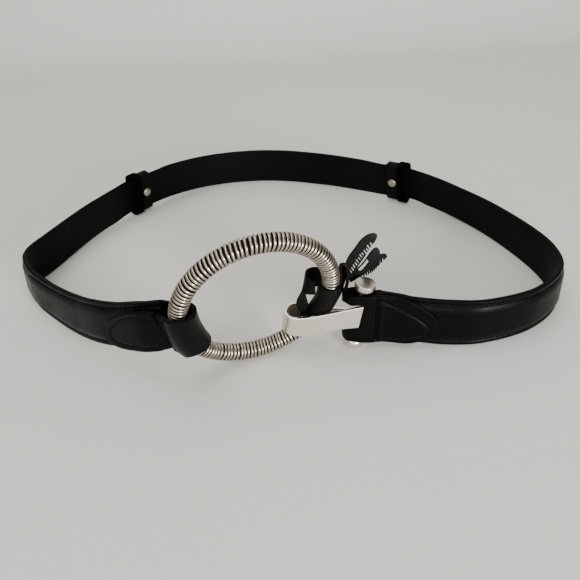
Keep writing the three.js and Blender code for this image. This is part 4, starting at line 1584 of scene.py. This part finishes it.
@dataclass(frozen=True)
class Cuts:
    """Slits cut across a tail next to one edge. Each row of them has where it begins and ends along the
    tail, the slits' pitch and width, and how far in from the edge they begin and end."""

    edge: int  # 0 for the band's first edge, 1 for the other
    rows: Table
    slant: float = 0.0  # how far a slit goes along the tail for each millimetre across it
    uneven: float = 0.0  # how far the slits stray from even, in millimetres
    seed: int = 5

    def leather(self, patch: Patch) -> Array:
        """Finds which cells of a tail are left when the slits are out.

        Args:
            patch: the tail's patch.

        Returns:
            Which cells are leather.
        """
        rng = np.random.default_rng(self.seed)
        middle_across = (patch.across[1:, 1:] + patch.across[:-1, :-1]) / 2
        along = (patch.along[1:] + patch.along[:-1])[:, None] / 2
        width = (patch.across[1:, -1:] + patch.across[:-1, -1:]) / 2
        inwards = middle_across if self.edge == 0 else width - middle_across
        place = along - self.slant * inwards
        keep = np.ones(middle_across.shape, bool)
        for start, end, pitch, wide, near, far in self.rows:
            count = max(int(round((end - start) / pitch)), 1)
            centres = start + (np.arange(count) + 0.5) * (end - start) / count
            centres += rng.uniform(-1, 1, count) * self.uneven
            nears = near + (rng.uniform(-1, 1, count) * self.uneven if near > 0 else np.zeros(count))
            fars = far + rng.uniform(-1, 1, count) * self.uneven * 2
            for centre, first, last in zip(centres, nears, fars):
                keep &= ~((np.abs(place - centre) < wide / 2) & (inwards > first) & (inwards < last))
        return keep


@dataclass
class Thong:
    """The thong tied round the right of the ring: its wrap, curl and fold, its knot and its cut tails."""

    ring: WoundRing
    finishes: Finishes
    thick: float = 1.2
    wrap_thick: float = 1.0
    loop_thick: float = 1.5
    wrap_room: float = 0.25
    rim: Rim = Rim(0.45, 2.3)
    wrap_fine: float = 0.45  # spacing of the mesh
    fine: float = 0.4
    cut_fine: float = 0.2
    # Swing round the tube, and the places on the ring of the wrap's two edges.
    wrap: Table = (
        (150, 333.0, 362), (120, 330.0, 362), (90, 328.0, 362), (60, 325.0, 362), (30, 323.0, 362),
        (0, 323.0, 362), (-30, 325.0, 362), (-60, 330.0, 362), (-90, 337.5, 362), (-120, 337.5, 362),
        (-150, 337.5, 362),
    )
    bands: dict[str, Table] = field(default_factory=lambda: {
        "thong_curl": (
            (21.0, -88.6, 33.4, 20.6, -88.6, 44.6), (16.0, -88.2, 33.4, 17.0, -88.4, 45.0),
            (12.0, -90.8, 33.8, 13.8, -90.6, 45.0), (11.4, -94.6, 34.6, 13.6, -94.4, 44.0),
            (13.6, -97.4, 35.2, 15.2, -96.8, 43.0), (17.2, -98.4, 35.6, 17.4, -98.0, 42.4),
        ),
        "thong_fold": (
            (9.9, -95.3, 20.6, 11.5, -94.6, 20.0), (9.5, -95.3, 22.5, 12.9, -94.6, 21.7),
            (8.6, -95.3, 25.0, 13.7, -94.6, 24.1), (7.7, -95.3, 27.4, 14.0, -94.6, 26.5),
            (7.8, -95.3, 29.8, 13.5, -94.6, 28.9), (8.7, -95.3, 32.1, 13.0, -94.6, 31.3),
            (9.9, -95.3, 34.4, 12.7, -94.6, 33.7), (10.8, -95.3, 36.4, 12.9, -94.6, 35.8),
            (11.4, -95.3, 38.3, 13.4, -94.6, 37.7),
        ),
        "knot_band": (
            (24.6, -88.6, 21.0, 27.0, -89.4, 20.8), (26.4, -88.5, 25.5, 29.2, -89.2, 25.2),
            (27.6, -88.3, 30.0, 31.2, -88.6, 29.4), (28.0, -87.9, 34.5, 32.4, -87.8, 33.6),
            (28.6, -87.9, 38.5, 33.4, -87.9, 38.6), (29.2, -88.2, 43.0, 33.2, -88.2, 43.4),
            (29.8, -88.4, 46.2, 32.4, -88.4, 46.2),
        ),
        "knot_loop": (
            (28.9, -93.0, 33.4, 29.1, -88.6, 30.3), (30.9, -93.0, 33.0, 31.1, -88.6, 29.9),
            (32.6, -93.0, 34.7, 32.8, -88.6, 31.6), (33.4, -93.0, 38.2, 33.6, -88.6, 35.2),
            (33.4, -93.0, 42.3, 33.7, -88.6, 39.4), (33.0, -93.0, 46.4, 33.2, -88.6, 43.5),
            (31.8, -93.0, 48.6, 32.0, -88.6, 45.8), (30.3, -93.0, 48.5, 30.5, -88.6, 45.7),
            (29.9, -93.0, 45.4, 30.1, -88.6, 42.6), (30.0, -93.0, 40.8, 30.2, -88.6, 37.8),
            (29.9, -93.0, 36.6, 30.1, -88.6, 33.6),
        ),
        "tail_long": (
            (34.9, -90.6, 37.0, 31.6, -90.6, 42.0), (36.6, -90.4, 40.9, 32.2, -90.4, 46.4),
            (39.0, -90.0, 45.6, 33.6, -90.0, 50.4), (42.0, -89.4, 50.2, 36.7, -89.4, 54.9),
            (44.6, -88.6, 54.6, 40.0, -88.6, 59.2), (47.3, -87.8, 58.2, 43.4, -87.8, 61.4),
            (48.0, -87.0, 60.4, 46.4, -87.0, 61.6),
        ),
        "tail_mid": (
            (35.4, -88.0, 34.4, 33.8, -88.4, 38.0), (40.6, -87.4, 37.4, 38.0, -87.4, 41.4),
            (44.6, -86.8, 40.1, 42.0, -86.8, 45.8), (48.1, -86.1, 44.0, 44.5, -86.1, 49.4),
            (50.0, -85.3, 48.5, 46.5, -85.3, 51.6), (49.5, -84.5, 51.0, 48.1, -84.5, 52.1),
        ),
        "tail_back": (
            (37.6, -86.0, 34.6, 36.4, -86.2, 37.6), (44.7, -84.6, 36.3, 43.0, -84.8, 40.4),
            (47.8, -83.6, 38.0, 46.6, -83.8, 43.4), (50.8, -82.6, 41.0, 49.6, -82.6, 45.6),
            (53.3, -81.8, 43.2, 51.7, -81.8, 46.4), (54.6, -81.0, 44.2, 53.4, -81.0, 46.0),
        ),
    })
    cuts: dict[str, Cuts] = field(default_factory=lambda: {
        "tail_long": Cuts(0, (
            (3.0, 15.0, 1.5, 0.75, 0.6, 3.0), (15.0, 21.5, 1.6, 0.85, -1.0, 2.2),
        ), slant=0.25, uneven=0.17),
        "tail_mid": Cuts(1, ((6.6, 13.4, 6.8, 6.8, 0.5, 2.9),)),
        "tail_back": Cuts(0, ((2.0, 18.0, 1.45, 0.75, -1.0, 2.0),), slant=0.3, uneven=0.16),
    })

    def build(self) -> None:
        """Builds the wrap and every other band."""
        leather = [self.finishes.thong, self.finishes.thong, self.finishes.edge]
        table = np.array(self.wrap, float)
        places = table[:, 1:2] + (table[:, 2:3] - table[:, 1:2]) * np.array([0, 0.5, 1])
        radius = self.ring.radius + self.wrap_room + self.wrap_thick / 2
        control = self.ring.round_tube(places, np.full(places.shape, radius),
                                       np.broadcast_to(table[:, :1], places.shape))
        wrap = Patch.through(control, self.wrap_fine, self.rim.depth).thickened(self.wrap_thick, self.rim)
        make_piece("ring_wrap_leather", wrap, leather, ["ring_wrap"])
        one_look = {"knot_band": self.finishes.lining, "knot_loop": self.finishes.thong}
        for name, rows in self.bands.items():
            cuts = self.cuts.get(name)
            patch = Patch.through(edge_control(rows), self.cut_fine if cuts else self.fine, self.rim.depth)
            thick = self.loop_thick if name == "knot_loop" else self.thick
            shell = patch.thickened(thick, self.rim, keep=cuts.leather(patch) if cuts else None)
            look = [one_look[name]] * 3 if name in one_look else leather
            make_piece(name + "_leather", shell, look, [name] if name != "knot_loop" else ())


@dataclass
class Studio:
    """The camera, the pale floor and the soft lights."""

    camera_place: tuple[float, float, float] = (4.7, -322.7, 198.8)
    pitch: float = 0.6097  # how far the camera looks down, in radians
    roll: float = 0.0565  # how far it leans, in radians
    lens: float = 36.0
    sensor: float = 36.0
    clip: tuple[float, float] = (0.01, 20.0)
    # Each light's name, its place and its side in metres, its power in watts, and its colour.
    lights: tuple[tuple[str, tuple[float, float, float], float, float, str], ...] = (
        ("window", (-0.3, -1.1, 0.95), 1.1, 10.5, "#ffffff"),
        ("side", (0.68, -1.05, 0.24), 0.32, 19.0, "#ffffff"),
        ("front", (-0.03, -1.3, 0.26), 0.45, 2.0, "#ffffff"),
        ("sky", (-0.25, 0.0, 1.3), 1.0, 9.0, "#fbfaf6"),
    )
    room: str = "#cfcdc9"
    room_strength: float = 0.4
    card: tuple[str, str] = ("#d3d0cb", "#dad7d2")
    # The floor, in metres: its front and back ends, its bend, the wall's height and half its width.
    front: float = -1.6
    back: float = 0.62
    bend: float = 0.12
    tall: float = 1.6
    half: float = 2.2

    def add_camera(self) -> None:
        """Adds the camera: the roll turns its right and down sides, and it looks down by the pitch."""
        cos_pitch, sin_pitch = np.cos(self.pitch), np.sin(self.pitch)
        right, down = np.array([1.0, 0, 0]), np.array([0, -sin_pitch, -cos_pitch])
        ahead = np.array([0, cos_pitch, -sin_pitch])
        cos_roll, sin_roll = np.cos(self.roll), np.sin(self.roll)
        right, down = cos_roll * right + sin_roll * down, -sin_roll * right + cos_roll * down
        data = bpy.data.cameras.new("camera")
        data.lens, data.sensor_width = self.lens, self.sensor
        data.clip_start, data.clip_end = self.clip
        camera = add_object("camera", data)
        turned = np.eye(4)
        turned[:3] = np.stack([right, -down, -ahead, np.array(self.camera_place) * MM], axis=-1)
        camera.matrix_world = Matrix(turned.tolist())
        bpy.context.scene.camera = camera

    def add_lights(self) -> None:
        """Adds the square area lights, which face the belt."""
        for name, place, size, power, colour in self.lights:
            data = bpy.data.lights.new(name, "AREA")
            data.size, data.energy, data.color = size, power, linear(colour)[:3]
            light = add_object(name, data)
            light.location = place
            light.rotation_mode = "QUATERNION"
            light.rotation_quaternion = (-Vector(place)).to_track_quat("-Z", "Y")

    def add_floor(self) -> None:
        """Adds the floor, which turns up into a wall behind, as a sheet of matt card."""
        material, tree = new_material("pale_card")
        place = {"Vector": add_node(tree, "TexCoord").outputs["Object"]}
        cloud = add_node(tree, "TexNoise", {"Scale": 3.0, "Detail": 2.0}, place)
        grey, light = (linear(code) for code in self.card)
        tone = add_node(tree, "Mix", {"data_type": "RGBA", 6: grey, 7: light},
                        {"Factor": cloud.outputs["Fac"]})
        shader = add_node(tree, "BsdfPrincipled", {"Roughness": 0.6}, {"Base Color": tone.outputs[2]})
        add_node(tree, "OutputMaterial", None, {"Surface": shader.outputs["BSDF"]})
        turn = np.linspace(-np.pi / 2, 0, 2 * RIM_STEPS + 1)
        curve = self.bend * np.stack([np.cos(turn), np.sin(turn)], axis=-1)
        curve += [self.back - self.bend, self.bend]
        profile = np.concatenate([[[self.front, 0]], curve, [[self.back, self.tall]]])
        points = np.concatenate([np.insert(profile, 0, x, axis=1) for x in (-self.half, self.half)])
        count = len(profile)
        quads = [(i, i + 1, i + 1 + count, i + count) for i in range(count - 1)]
        mesh = bpy.data.meshes.new("floor")
        mesh.from_pydata(points.tolist(), [], quads)
        mesh.polygons.foreach_set("use_smooth", np.ones(len(quads), bool))
        mesh.flip_normals()
        mesh.materials.append(material)
        add_object("floor", mesh)

    def build(self) -> None:
        """Sets the whole stage."""
        self.add_camera()
        self.add_floor()
        self.add_lights()
        world = bpy.data.worlds.new("soft_room")
        world.use_nodes = True
        background = world.node_tree.nodes["Background"]
        background.inputs["Color"].default_value = linear(self.room)
        background.inputs["Strength"].default_value = self.room_strength
        bpy.context.scene.world = world


def main() -> None:
    """Builds the stage and every sub-assembly, in order."""
    logging.basicConfig(level=logging.INFO, format="%(name)s: %(message)s")
    Studio().build()
    finishes = Finishes()
    route = Route()
    straps = Straps(route, finishes)
    straps.build()
    Keepers(straps, finishes).build()
    ring = WoundRing(finishes)
    ring.build()
    LeftTab(route, finishes, ring=ring).build()
    RightTab(route, finishes).build()
    pin = Pin(finishes)
    pin.build()
    Hook(finishes, pin.foot, pin.axis).build()
    Thong(ring, finishes).build()


if __name__ == "__main__":
    main()
